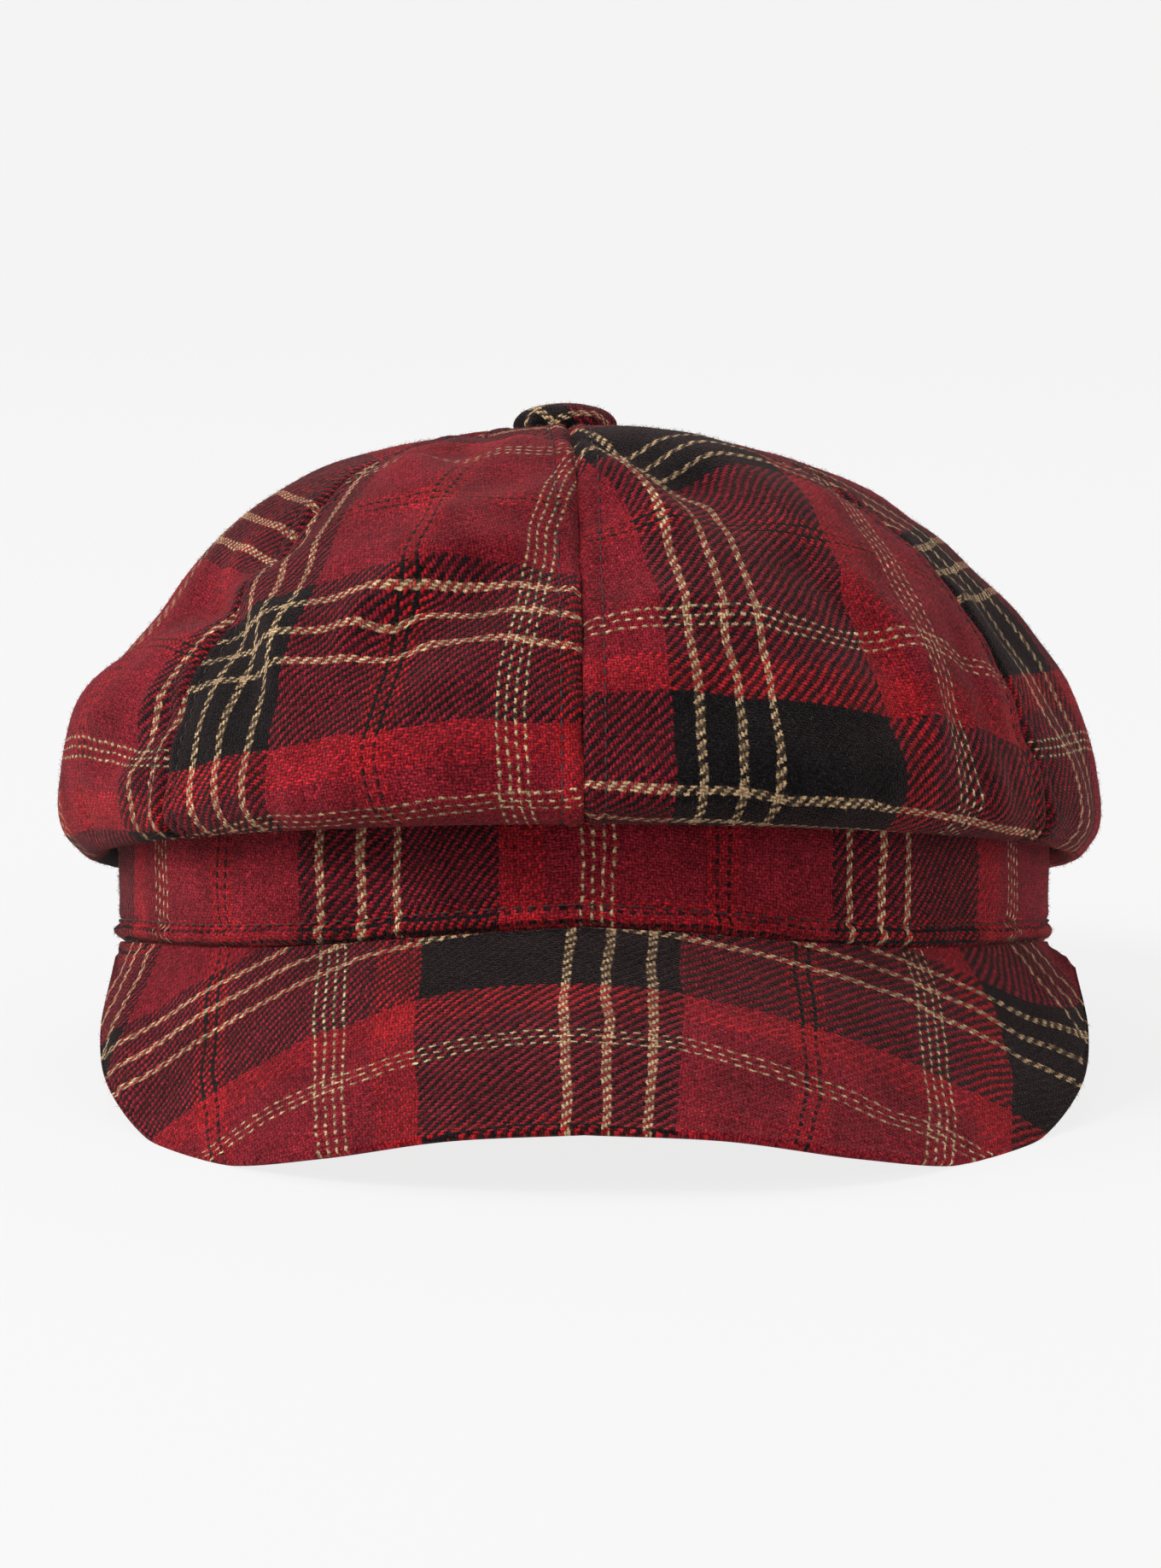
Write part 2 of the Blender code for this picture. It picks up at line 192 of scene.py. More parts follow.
# Heights of the sewing's marks on the crown, in mm, and how far from the seam they lie.
sewing = {
    "grooveMm": 0.8, "grooveWidthMm": 0.9, "allowanceMm": 0.35, "allowanceAtMm": 2.4, "allowanceWidthMm": 1.6,
    "lineMm": 0.22, "lineAtMm": 4.5, "lineWidthMm": 0.7, "pitchMm": 2.8, "dimpleMm": 0.12,
    "puckerMm": 0.35, "puckerWidthMm": 7.0, "pucker": (10.0, 3), "threadLift": 0.00012,
    "fadesFrom": 0.05, "fadesTo": 0.10,
    "seamGap": -0.00004,  # sewn edges press into each other, so no light passes
    "stitchMm": 2.1, "stitchRadiusMm": 0.20, "stitchTaper": 2.2, "stitchSpan": (0.05, 0.72),
    "stitchFromMm": 12.0,
    "stitchSteps": 900, "stitchAhead": 0.002, "stitchMostAcross": 0.35,
    "bandStitchesMm": 590, "bandStitchTurn": 357.0, "bandStitchAhead": 0.4, "bandStitchInset": 0.00019,
}

# Unevenness of the crown's cloth: heights and wavelengths in mm and seeds, and spans down the section.
slackness = {
    "waves": ((0.55, 42.0, 11), (0.30, 19.0, 12)), "rises": (0.12, 0.30), "ends": (0.62, 0.72),
    "lowFold": (0.35, 13.0, 15, 0.3), "lowFoldAt": 0.60, "lowFoldWidth": 0.07,
    "creaseRises": (0.12, 0.20), "creaseEnds": (0.62, 0.70),
}

# Finer creases of the crown: height and half width in mm, and the line in angle and section.
creases = (
    # ridge over the front left
    (1.5, 3.8, ((332.9, 0.444), (335.1, 0.426), (337.5, 0.407), (341.4, 0.384), (346.6, 0.365), (350.8,
                0.351))),
    # valley under it
    (-1.5, 5.0, ((329.6, 0.452), (334.6, 0.450), (337.4, 0.435), (340.6, 0.413), (345.1, 0.397))),
    (1.2, 4.0, ((359.0, 0.223), (5.0, 0.264), (8.9, 0.291), (13.1, 0.328))),  # ridge by the centre top
    (-1.9, 5.6, ((14.5, 0.191), (19.8, 0.229), (23.8, 0.267))),  # hollow behind it
    (-1.6, 6.2, ((327.0, 0.204), (340.9, 0.244), (348.1, 0.286))),  # dip at the top left
    (1.1, 4.0, ((325.5, 0.241), (334.9, 0.278), (341.4, 0.334))),  # ridge beside the dip
    # valley on the right
    (-1.9, 6.2, ((32.0, 0.374), (33.0, 0.399), (34.5, 0.431), (36.1, 0.478), (35.9, 0.515))),
    # ridge on the right
    (1.5, 5.6, ((36.4, 0.382), (37.8, 0.413), (40.1, 0.443), (41.2, 0.481), (40.8, 0.520))),
    (1.5, 5.0, ((53.9, 0.459), (53.2, 0.506), (50.8, 0.573), (52.2, 0.657))),  # ridge on the right lobe
    (-1.5, 5.0, ((44.4, 0.501), (44.9, 0.542), (45.2, 0.602))),  # valley on the right lobe
    # wrinkle on the left lobe
    (1.1, 3.2, ((291.8, 0.501), (296.9, 0.507), (300.6, 0.500), (302.6, 0.482))),
    (-1.1, 3.8, ((291.6, 0.519), (297.8, 0.528), (302.4, 0.521), (305.4, 0.503))),  # wrinkle under it
    (0.9, 3.2, ((290.8, 0.548), (297.5, 0.561), (302.9, 0.559))),  # lower wrinkle
    (-1.8, 5.0, ((288.1, 0.359), (307.8, 0.401), (317.4, 0.446), (320.4, 0.480))),  # left notch
    (1.2, 4.4, ((295.0, 0.336), (312.6, 0.380), (320.9, 0.425), (324.1, 0.469))),  # ridge over the notch
    # wrinkle over the front right fold
    (0.9, 3.8, ((4.0, 0.423), (9.0, 0.409), (15.0, 0.416), (20.6, 0.430))),
    (0.9, 5.0, ((326.9, 0.532), (334.5, 0.553), (342.1, 0.559), (349.1, 0.554))),  # soft fold low left
    (0.9, 5.6, ((6.6, 0.609), (13.6, 0.579), (21.8, 0.572), (28.6, 0.585))),  # soft fold low right
)


def bandOutline(angle, inset=0.0):
    turn = np.radians(angle)
    side, forward = np.sin(turn), -np.cos(turn)
    point = np.stack([band["halfWidth"] * side, band["halfLength"] * forward, 0 * turn], -1)
    outward = np.stack([side / band["halfWidth"], forward / band["halfLength"], 0 * turn], -1)
    return point - unit(outward) * np.asarray(inset, float)[..., None]


def bandBelow(rim, inset):
    angle = np.arctan2(rim[..., 0] / band["halfWidth"], -rim[..., 1] / band["halfLength"])
    return bandOutline(np.degrees(angle), inset)


def bandEdge(angle):
    fromFront = np.abs((np.asarray(angle, float) + 180.0) % 360.0 - 180.0)
    return curveThrough(band["edge"], fromFront)[..., 0] * band["height"]


def crownOutline(angle):
    turn = np.radians(angle)
    overhang = np.where(np.cos(turn) > 0, crown["overhangFront"], crown["overhangBack"])
    halfWidth = band["halfWidth"] + crown["overhangSide"]
    return np.stack([halfWidth * np.sin(turn), -(band["halfLength"] + overhang) * np.cos(turn), 0 * turn], -1)


# Point of the smooth crown, without bulges or folds.
def crownBase(angle, section):
    angle, section = np.broadcast_arrays(np.asarray(angle, float), np.asarray(section, float))
    rim = crownOutline(angle)
    far = np.linalg.norm(rim, axis=-1)
    table = np.array(crown["section"])
    last = len(table) - 1
    at = np.clip(section, 0, 1) * last
    index = np.clip(np.ceil(at).astype(int) - 1, 0, last - 1)

    def station(row):
        row = np.clip(row, 0, last)
        values = table[row]
        out = np.where(row == 1, crown["seat"] / far, values[..., 0])
        values[..., 0] = np.where(row == 0, crown["tip"] / far, out)
        return values

    spans = ((index > 0)[..., None] * 1.0, 1.0, (index < last - 1)[..., None] * 1.0)
    share = (at - index)[..., None]
    found = hermite(station(index - 1), station(index), station(index + 1), station(index + 2), share, *spans)
    out, tuck, hem, up = (found[..., i : i + 1] for i in range(4))
    besideBand, bandInner = bandBelow(rim, -hat["gap"]), bandBelow(rim, band["wall"])
    point = rim * out + (besideBand - rim * out) * tuck + (bandInner - besideBand) * hem
    point[..., 0] -= (crown["leanToLeft"] * (1 - out) * (1 - tuck))[..., 0]
    point[..., 2] = band["height"] + hat["gap"] + crown["rise"] * up[..., 0]
    return point


def crownAround(angle, section):
    step = crown["angleStep"]
    return unit(crownBase(angle + step, section) - crownBase(angle - step, section))


def crownNormal(angle, section):
    low, high = np.maximum(0, section - crown["sectionStep"]), np.minimum(1, section + crown["sectionStep"])
    down = crownBase(angle, high) - crownBase(angle, low)
    return unit(np.cross(down, crownAround(angle, section)))


def foldHeight(angle, section):
    height = 0.0
    for foldAngle, foldSection, heading, length, width, depth in crown["folds"]:
        turned = np.radians((angle - foldAngle + 180.0) % 360.0 - 180.0)
        radius = float(np.linalg.norm(crownOutline(np.float64(foldAngle))))
        across = turned * radius * smoothStep(0.0, crown["foldSpreads"], section)
        down = (section - foldSection) * (radius + crown["rise"])
        lean = math.radians(heading)
        along = across * math.cos(lean) + down * math.sin(lean)
        aside = down * math.cos(lean) - across * math.sin(lean)
        far = (along / (length * band["halfWidth"])) ** 2 + (aside / (width * band["halfWidth"])) ** 2
        height = height + depth * crown["bulge"] * np.exp(-far)
    return height * smoothStep(*crown["foldsRise"], section) * (1 - smoothStep(*crown["bothEnd"], section))


# Base point, normal, way round and height of a gore's smooth outer face.
def goreForm(start, end, across, down):
    angle = start + (end - start) * across
    base, normal, around = crownBase(angle, down), crownNormal(angle, down), crownAround(angle, down)
    fullness = smoothStep(*crown["fullnessRises"], down) * (1 - smoothStep(*crown["bothEnd"], down))
    height = crown["bulge"] * fullness * np.sin(math.pi * across) + foldHeight(angle, down)
    return base, normal, around * (sewing["seamGap"] * (0.5 - across))[..., None], height


# Way down the smooth crown from its apex in mm, measured along one line.
def meridianMm(angle, down):
    steps = np.linspace(0, 1, crown["meridianSteps"])
    line = crownBase(np.full(len(steps), float(angle)), steps)
    run = np.concatenate([[0.0], np.cumsum(np.linalg.norm(np.diff(line, axis=0), axis=1))]) * 1000
    return np.interp(down, steps, run)


# Height of the creases in metres, by the distance from each crease's line.
def creaseHeight(angle, down):
    turned = (angle + 180.0) % 360.0 - 180.0
    reach = np.linalg.norm(crownBase(angle, down)[..., :2], axis=-1) * 1000
    run = meridianMm(0.0, down)
    total = 0.0 * down
    for height, width, line in creases:
        spots = np.array(line)
        around = (spots[:, 0] + 180.0) % 360.0 - 180.0
        runs = meridianMm(0.0, spots[:, 1])
        far = np.full(np.shape(down), np.inf)
        for a0, r0, a1, r1 in zip(around[:-1], runs[:-1], around[1:], runs[1:]):
            x, y = np.radians(turned - a0) * reach, run - r0
            dx, dy = np.radians(a1 - a0) * reach, r1 - r0
            share = np.clip((x * dx + y * dy) / np.maximum(dx * dx + dy * dy, 1e-6), 0.0, 1.0)
            far = np.minimum(far, np.hypot(x - share * dx, y - share * dy))
        total = total + humped(far, height, width)
    s = slackness
    return total * smoothStep(*s["creaseRises"], down) * (1 - smoothStep(*s["creaseEnds"], down)) / 1000


# Fine heights of a gore's outer face in metres: seams, stitch lines, puckers and slackness.
def sewnHeight(start, end, across, down):
    angle = start + (end - start) * across
    reach = np.linalg.norm(crownBase(angle, down)[..., :2], axis=-1) * 1000
    fromSeam = np.minimum(across, 1 - across) * math.radians(end - start) * reach
    run = meridianMm((start + end) / 2, down)
    s = sewing
    groove = humped(fromSeam, -s["grooveMm"], s["grooveWidthMm"])
    ridge = humped(fromSeam - s["allowanceAtMm"], s["allowanceMm"], s["allowanceWidthMm"])
    line = humped(fromSeam - s["lineAtMm"], -s["lineMm"], s["lineWidthMm"])
    dimple = np.cos(2 * math.pi * run / s["pitchMm"])
    dimple = dimple * humped(fromSeam - s["lineAtMm"], s["dimpleMm"], 2 * s["lineWidthMm"])
    side = np.where(across < 0.5, start, end)
    pucker = humped(fromSeam, s["puckerMm"], s["puckerWidthMm"]) * ripple(run, side, *s["pucker"])
    fine = (groove + ridge + line + dimple + pucker) * smoothStep(s["fadesFrom"], s["fadesTo"], down)
    arc = np.radians(angle) * crown["arcMm"]
    s = slackness
    slack = sum(height * ripple(arc, run, wavelength, seed) for height, wavelength, seed in s["waves"])
    slack = slack * smoothStep(*s["rises"], down) * (1 - smoothStep(*s["ends"], down))
    height, wavelength, seed, stretch = s["lowFold"]
    lower = humped(down - s["lowFoldAt"], height, s["lowFoldWidth"])
    lower = lower * ripple(arc, run * stretch, wavelength, seed)
    return (fine + slack + lower) / 1000


# Where lines of the tartan lie on each gore: thread system, place in the sett in mm, and then
# the angle and section of the crown at some points of that line.
tartanPlaces = {
    "panel_front_left": (
        ("warp", 25.0, ((313.4, 0.619), (312.6, 0.551), (313.4, 0.482), (316.5, 0.408))),
        ("warp", 38.6, ((320.9, 0.651), (322.8, 0.498), (323.0, 0.399), (316.0, 0.318))),
        ("warp", 64.6, ((338.2, 0.645), (337.8, 0.528), (338.5, 0.470), (341.6, 0.402), (341.6, 0.322))),
        ("warp", 87.6, ((353.2, 0.641), (352.6, 0.524), (353.1, 0.449), (353.4, 0.398), (354.2, 0.348),
                        (355.8, 0.307), (357.9, 0.260))),
        ("weft", 57.5, ((325.9, 0.306), (341.2, 0.311), (348.4, 0.328))),
        ("weft", 31.5, ((329.0, 0.419), (337.0, 0.427), (339.9, 0.420), (342.9, 0.400), (346.5, 0.384),
                        (351.5, 0.369))),
        ("weft", 24.8, ((329.0, 0.443), (337.4, 0.447), (340.8, 0.422), (352.1, 0.409), (358.2, 0.430))),
        ("weft", 17.8, ((328.0, 0.465), (335.6, 0.464), (340.0, 0.442), (342.8, 0.437), (350.1, 0.449),
                        (358.8, 0.455))),
        ("weft", 0.0, ((321.0, 0.537), (334.1, 0.528), (346.4, 0.521), (359.6, 0.517))),
        ("weft", -15.3, ((324.5, 0.669), (346.4, 0.631), (358.8, 0.630))),
    ),
    "panel_front_right": (
        ("warp", 38.6, ((12.9, 0.663), (12.9, 0.497), (12.9, 0.407), (13.0, 0.338))),
        ("warp", 25.0, ((20.4, 0.659), (20.2, 0.501), (20.2, 0.404), (24.6, 0.307))),
        ("warp", 0.0, ((35.2, 0.643), (33.5, 0.516), (32.1, 0.464), (32.1, 0.404), (35.5, 0.337))),
        ("warp", -15.3, ((47.5, 0.609), (45.1, 0.533), (42.8, 0.480), (42.6, 0.441), (44.5, 0.386))),
        ("weft", 17.8, ((3.1, 0.597), (16.4, 0.600), (29.9, 0.608), (45.8, 0.647))),
        ("weft", 0.0, ((0.6, 0.494), (16.0, 0.503), (34.6, 0.520))),
        ("weft", -15.3, ((3.8, 0.436), (10.8, 0.425), (23.4, 0.439), (31.6, 0.450))),
        ("weft", -38.3, ((2.6, 0.341), (7.6, 0.330), (22.9, 0.317), (31.0, 0.342))),
        ("weft", -59.5, ((24.9, 0.254), (45.9, 0.261))),
    ),
    "panel_left": (
        ("warp", 38.6, ((303.4, 0.609), (304.1, 0.507))),
        ("warp", 25.0, ((307.4, 0.551),)),
        ("weft", 0.0, ((304.2, 0.665),)),
    ),
    "panel_right": (
        ("warp", 25.0, ((70.2, 0.388), (66.8, 0.455))),
        ("weft", 31.5, ((70.1, 0.317),)),
        ("weft", 24.8, ((62.2, 0.350),)),
        ("weft", 17.8, ((61.0, 0.382),)),
        ("weft", 0.0, ((61.0, 0.459),)),
    ),
    "panel_back_right": (("warp", 64.6, ((150.0, 0.62), (150.0, 0.40))), ("weft", 10.0, ((150.0, 0.60),))),
    "panel_back_left": (("warp", 20.0, ((211.0, 0.62), (211.0, 0.40))), ("weft", 45.0, ((211.0, 0.60),))),
}

# Sett place in mm of each gore's middle at the lower fold, and whether the cloth is turned round.
tartanStarts = {
    "panel_front_left": (58.0, -14.0, 1.0),
    "panel_front_right": (6.0, 20.0, -1.0),
    "panel_left": (92.0, -2.0, -1.0),
    "panel_right": (64.0, -20.0, 1.0),
    "panel_back_right": (30.0, 0.0, 1.0),
    "panel_back_left": (80.0, 50.0, 1.0),
}

laying = {"pinWeight": 1.5, "rounds": 12, "anchor": 1e-6, "stiffness": (0.05, 20.0)}


# Lays a grid of points out flat, as stiffly as cloth, in mm, with some places pinned.
# pins are (share across, share down, 0 across or 1 up, place in mm).
def unrolled(points, start, pins):
    rows, columns = points.shape[:2]
    index = np.arange(rows * columns).reshape(rows, columns)
    flat = points.reshape(-1, 3) * 1000
    triangles = np.concatenate([
        np.stack([index[:-1, :-1].ravel(), index[1:, :-1].ravel(), index[1:, 1:].ravel()], -1),
        np.stack([index[:-1, :-1].ravel(), index[1:, 1:].ravel(), index[:-1, 1:].ravel()], -1),
    ])
    corner = flat[triangles]
    alongX = unit(corner[:, 1] - corner[:, 0])
    face = unit(np.cross(corner[:, 1] - corner[:, 0], corner[:, 2] - corner[:, 0]))
    axes = np.stack([alongX, np.cross(face, alongX)], -1)
    local = np.einsum("tkc,tca->tka", corner - corner[:, :1], axes)
    count = len(flat)
    system = laying["anchor"] * np.eye(count)
    edges = []
    for first, second, third in ((0, 1, 2), (1, 2, 0), (2, 0, 1)):
        a, b = local[:, first] - local[:, third], local[:, second] - local[:, third]
        cross = np.abs(a[:, 0] * b[:, 1] - a[:, 1] * b[:, 0])
        weight = np.clip((a * b).sum(-1) / np.maximum(cross, 1e-9), *laying["stiffness"]) / 2
        i, j = triangles[:, first], triangles[:, second]
        for p, q, sign in ((i, i, 1), (j, j, 1), (i, j, -1), (j, i, -1)):
            np.add.at(system, (p, q), sign * weight)
        edges.append((i, j, weight, local[:, first] - local[:, second]))
    systems = [system, system.copy()]
    laidOut = start.reshape(-1, 2).copy()
    pulls = [laying["anchor"] * laidOut[:, axis] for axis in range(2)]
    for across, down, axis, value in pins:
        x, y = across * (columns - 1), down * (rows - 1)
        c, r = min(int(x), columns - 2), min(int(y), rows - 2)
        share = np.zeros(count)
        for row, partDown in ((r, 1 - (y - r)), (r + 1, y - r)):
            for column, partAcross in ((c, 1 - (x - c)), (c + 1, x - c)):
                share[index[row, column]] += partDown * partAcross
        systems[axis] += laying["pinWeight"] * np.outer(share, share)
        pulls[axis] = pulls[axis] + laying["pinWeight"] * value * share
    inverses = [np.linalg.inv(s) for s in systems]
    for _ in range(laying["rounds"]):
        a = b = 0.0
        for i, j, weight, edge in edges:
            moved = laidOut[i] - laidOut[j]
            a = a + weight * (moved * edge).sum(-1)
            b = b + weight * (moved[:, 1] * edge[:, 0] - moved[:, 0] * edge[:, 1])
        size = np.maximum(np.hypot(a, b), 1e-12)
        a, b = a / size, b / size
        right = [pull.copy() for pull in pulls]
        for i, j, weight, edge in edges:
            turned = (a * edge[:, 0] - b * edge[:, 1], b * edge[:, 0] + a * edge[:, 1])
            for axis in range(2):
                np.add.at(right[axis], i, weight * turned[axis])
                np.add.at(right[axis], j, -weight * turned[axis])
        laidOut = np.stack([inverses[0] @ right[0], inverses[1] @ right[1]], -1)
    return laidOut.reshape(rows, columns, 2)


# Sett places over a fine grid, from those over a coarse one.
def refined(coarse, downCoarse, acrossCoarse, down, across):
    rows = np.column_stack([downCoarse, coarse.reshape(len(downCoarse), -1)])
    flat = curveThrough(rows, down).reshape(-1, len(acrossCoarse), 2)
    rows = np.column_stack([acrossCoarse, np.swapaxes(flat, 0, 1).reshape(len(acrossCoarse), -1)])
    fine = curveThrough(rows, across).reshape(len(across), -1, 2)
    return np.swapaxes(fine, 0, 1)


# Sett places in mm over a gore's fine grid, from a coarse grid laid out flat.
def goreTartan(name, start, end, across, down):
    acrossCoarse, downCoarse = np.linspace(0, 1, crown["chartColumns"]), np.linspace(0, 1, crown["chartRows"])
    x, y = np.meshgrid(acrossCoarse, downCoarse)
    base, normal, _, height = goreForm(start, end, x, y)
    placeX, placeY, turned = tartanStarts[name]
    reach = np.linalg.norm(base[..., :2], axis=-1) * 1000
    middle = (start + end) / 2
    run, foot = meridianMm(middle, y), float(meridianMm(middle, crown["foot"]))
    guessX = placeX + turned * (x - 0.5) * math.radians(end - start) * reach
    guess = np.stack([guessX, placeY + turned * (foot - run)], -1)
    pins = [((angle - start) / (end - start), section, 0 if thread == "warp" else 1, value)
            for thread, value, spots in tartanPlaces[name] for angle, section in spots]
    coarse = unrolled(base + normal * height[..., None], guess, pins)
    return refined(coarse, downCoarse, acrossCoarse, down[:, 0], across[0])


def makeGore(name, start, end, material):
    even = np.linspace(0, 1, crown["columns"] + 1)
    bunched = (1 - np.cos(math.pi * even)) / 2
    # Columns stand closer to each other by the seams.
    evenShare, bunchedShare = crown["spacing"]
    acrosses = evenShare * even + bunchedShare * bunched
    across, down = np.meshgrid(acrosses, np.linspace(0, 1, crown["rows"] + 1))
    base, normal, shift, height = goreForm(start, end, across, down)
    fine = sewnHeight(start, end, across, down)
    height = height + creaseHeight(start + (end - start) * across, down)
    outer = base + normal * (height + fine)[..., None] + shift
    inner = base + normal * (height - crown["wall"])[..., None] + shift
    cloth = goreTartan(name, start, end, across, down)
    piece = clothMesh(name + "_cloth", outer, inner, cloth, material)
    size = np.ptp(cloth.reshape(-1, 2), axis=0) / 1000
    return piece, size, wallArea(base + normal * height[..., None])


# Share of the wall's thickness that is left near a rounded edge.
def edgeRounding(fromEdge, radius):
    near = np.clip(1 - fromEdge / radius, 0, 1)
    return np.sqrt(np.maximum(1 - near**2, 0.0))


# A hump or hollow of that height round a line, by the distance from it.
def humped(far, height, halfWidth):
    return height * np.exp(-((far / halfWidth) ** 2))


def makeBand(material):
    b = band
    near = (1 - np.cos(np.linspace(0, math.pi / 2, b["edgeRows"]))) * b["edgeShare"]
    between = np.linspace(b["edgeShare"], 1 - b["edgeShare"], b["rows"])
    downs = np.concatenate([near[:-1], between, 1 - near[::-1][1:]])
    across, down = np.meshgrid(np.linspace(0, 1, b["columns"] + 1), downs)
    angle = -180.0 + 360.0 * across
    bottom = bandEdge(angle)
    z = b["height"] + (bottom - b["height"]) * down
    fromEdge = np.minimum(z - bottom, b["height"] - z)
    wall = b["wall"] * edgeRounding(fromEdge, b["wall"] / 2)
    arc = np.radians(angle) * b["arcMm"]
    up = (z - bottom) * 1000
    fromLine = up - b["stitchLine"] * 1000
    height, wavelength, seed = b["puff"]
    puff = height * smoothStep(*b["puffRises"], up) * (1 - smoothStep(*b["puffFalls"], up))
    puff = puff * (1 + b["puffUneven"] * ripple(arc, up, wavelength, seed))
    dimple = humped(fromLine, *b["dimple"]) * np.cos(2 * math.pi * arc / sewing["pitchMm"])
    height, wavelength, seed = b["slack"]
    slack = height * ripple(arc, up, wavelength, seed) * smoothStep(*b["slackRises"], up)
    relief = (humped(fromLine, *b["line"]) + puff + dimple + slack - b["sunkMm"]) / 1000
    roundness = b["softness"] * np.sin(math.pi * down)
    outerInset = b["wall"] / 2 - wall / 2 - roundness - relief * (wall / b["wall"])
    outer, inner = bandOutline(angle, outerInset), bandOutline(angle, b["wall"] / 2 + wall / 2 - roundness)
    for points in (outer, inner):
        points[..., 0] += sewing["seamGap"] * (across - 0.5)
        points[..., 2] = z
    places = curveThrough(bandTartan, arc)[..., 0]
    piece = clothMesh("band_cloth", outer, inner, np.stack([places, b["weftMm"] - up], -1), material)
    middleLine = bandOutline(angle[0], b["wall"] / 2)
    length = float(np.linalg.norm(np.diff(middleLine, axis=0), axis=1).sum())
    tall = z[0] - z[-1]
    return piece, (length, float(tall.max()), float(np.mean(tall)) * length)


# Arc from the centre front in mm, and the warp's place in the sett, which falls to the right.
bandTartan = (
    (-290.0, 283.0), (-200.0, 190.0), (-120.0, 108.0), (-57.0, 43.5), (-52.0, 38.6), (-43.8, 31.9),
    (-36.0, 25.0), (-15.9, 0.0), (2.4, -15.3), (26.5, -38.3), (49.2, -59.5), (53.1, -64.4),
    (60.3, -71.1), (66.9, -78.1), (88.0, -103.0), (180.0, -196.0), (290.0, -306.0),
)

peak = {
    "reach": 0.0430, "drop": 0.0420, "flareLeft": 0.0005, "flareRight": 0.0044, "span": 80.0, "wall": 0.0030,
    "edgeWall": 0.0020, "endWall": 0.0012, "endPower": 8, "bow": 0.0016, "bowLean": 0.7, "normalStep": 0.03,
    "columns": 260, "rows": 60, "underRows": 4, "edgeRows": 7, "edgeShare": 0.03, "edgeRadius": 0.0012,
    "depthMm": 57, "chartColumns": 33, "chartRows": 15, "chartUnder": 0.15, "chartMm": (27.8, 115, 50),
    # Relief: the cloth's length and depth in mm, heights with wavelengths and seeds, and the rolled edge.
    "cloth": (125, 50), "waves": ((0.25, 30.0, 31), (0.12, 12.0, 32)), "rises": (0.0, 0.10),
    "ends": (0.9, 1.0), "rollAtMm": 2.6, "roll": (-0.25, 0.9),
    # along, side, forward, down
    "edge": (
        (0.00, 0.000, 1.000, 0.880), (0.20, 0.264, 0.979, 0.905), (0.40, 0.516, 0.901, 0.976),
        (0.58, 0.714, 0.773, 1.000), (0.72, 0.857, 0.638, 0.917), (0.84, 0.967, 0.482, 0.667),
        (0.93, 1.000, 0.325, 0.405), (1.00, 0.990, 0.175, 0.100),
    ),
    # thread, place, and then along and out at some points of that line
    "tartan": (
        ("warp", 25.0, ((-0.022, 0.115), (-0.022, 0.912))),
        ("warp", 0.0, ((-0.230, 0.110), (-0.235, 0.875))),
        ("warp", 43.5, ((0.125, 0.190), (0.130, 0.900))),
        ("warp", -15.3, ((-0.367, 0.255), (-0.375, 0.820))),
        ("warp", -38.3, ((-0.585, 0.045), (-0.607, 0.478), (-0.610, 0.785))),
        ("warp", -59.5, ((-0.845, 0.105), (-0.800, 0.520))),
        ("warp", 64.6, ((0.312, 0.180), (0.312, 0.843))),
        ("warp", 87.6, ((0.530, 0.045), (0.540, 0.555), (0.548, 0.853))),
        ("warp", 103.0, ((0.713, 0.338), (0.708, 0.675))),
        ("weft", 31.5, ((-0.573, 0.188), (-0.672, 0.305), (-0.795, 0.590), (0.590, 0.152), (0.775, 0.465),
                        (0.893, 0.835))),
        ("weft", 24.8, ((-0.440, 0.110), (-0.685, 0.445), (-0.800, 0.738), (0.485, 0.158), (0.693, 0.398),
                        (0.857, 0.845))),
        ("weft", 17.8, ((-0.415, 0.170), (-0.620, 0.463), (-0.797, 0.885), (0.363, 0.165), (0.545, 0.325),
                        (0.752, 0.655))),
        ("weft", 0.0, ((-0.228, 0.310), (0.008, 0.315), (0.117, 0.323), (-0.355, 0.450), (-0.532, 0.585),
                       (-0.708, 0.865), (0.252, 0.400), (0.413, 0.500), (0.595, 0.680), (0.745, 0.948))),
        ("weft", -15.3, ((-0.223, 0.647), (-0.042, 0.578), (0.123, 0.605), (-0.495, 0.818), (0.272, 0.708),
                         (0.430, 0.833))),
    ),
}


def peakTop(along, out):
    along, out = np.broadcast_arrays(np.asarray(along, float), np.asarray(out, float))
    angle = along * peak["span"]
    level = bandEdge(angle) - hat["gap"]
    root = bandOutline(angle)
    root[..., 2] = level
    innerEdge = bandOutline(angle, band["wall"])
    innerEdge[..., 2] = level
    underBand = root + (innerEdge - root) * np.clip(-out, 0, 1)[..., None]
    side, forward, down = np.moveaxis(curveThrough(peak["edge"], np.abs(along)), -1, 0)
    halfWidth = band["halfWidth"] + np.where(along > 0, peak["flareRight"], peak["flareLeft"])
    edge = np.stack([
        np.copysign(side * halfWidth, along),
        -forward * (band["halfLength"] + peak["reach"]),
        -down * peak["drop"],
    ], -1)
    line = edge - root
    outward = line * np.array([1.0, 1.0, 0.0])
    lift = unit(outward) * peak["bowLean"] + np.array([0.0, 0.0, peak["bowLean"]])
    fullness = np.sin(math.pi * np.clip(out, 0, 1)) * (1 - along**4)
    beyond = root + line * out[..., None] + lift * (peak["bow"] * fullness)[..., None]
    return np.where((out < 0)[..., None], underBand, beyond)


def peakNormal(along, out):
    step = peak["normalStep"]
    outward = peakTop(along, np.minimum(1, out + step)) - peakTop(along, np.maximum(0, out - step))
    beside = peakTop(np.minimum(1, along + step), out) - peakTop(np.maximum(-1, along - step), out)
    normal = unit(np.cross(outward, beside))
    return np.where(normal[..., 2:] > 0, normal, -normal)


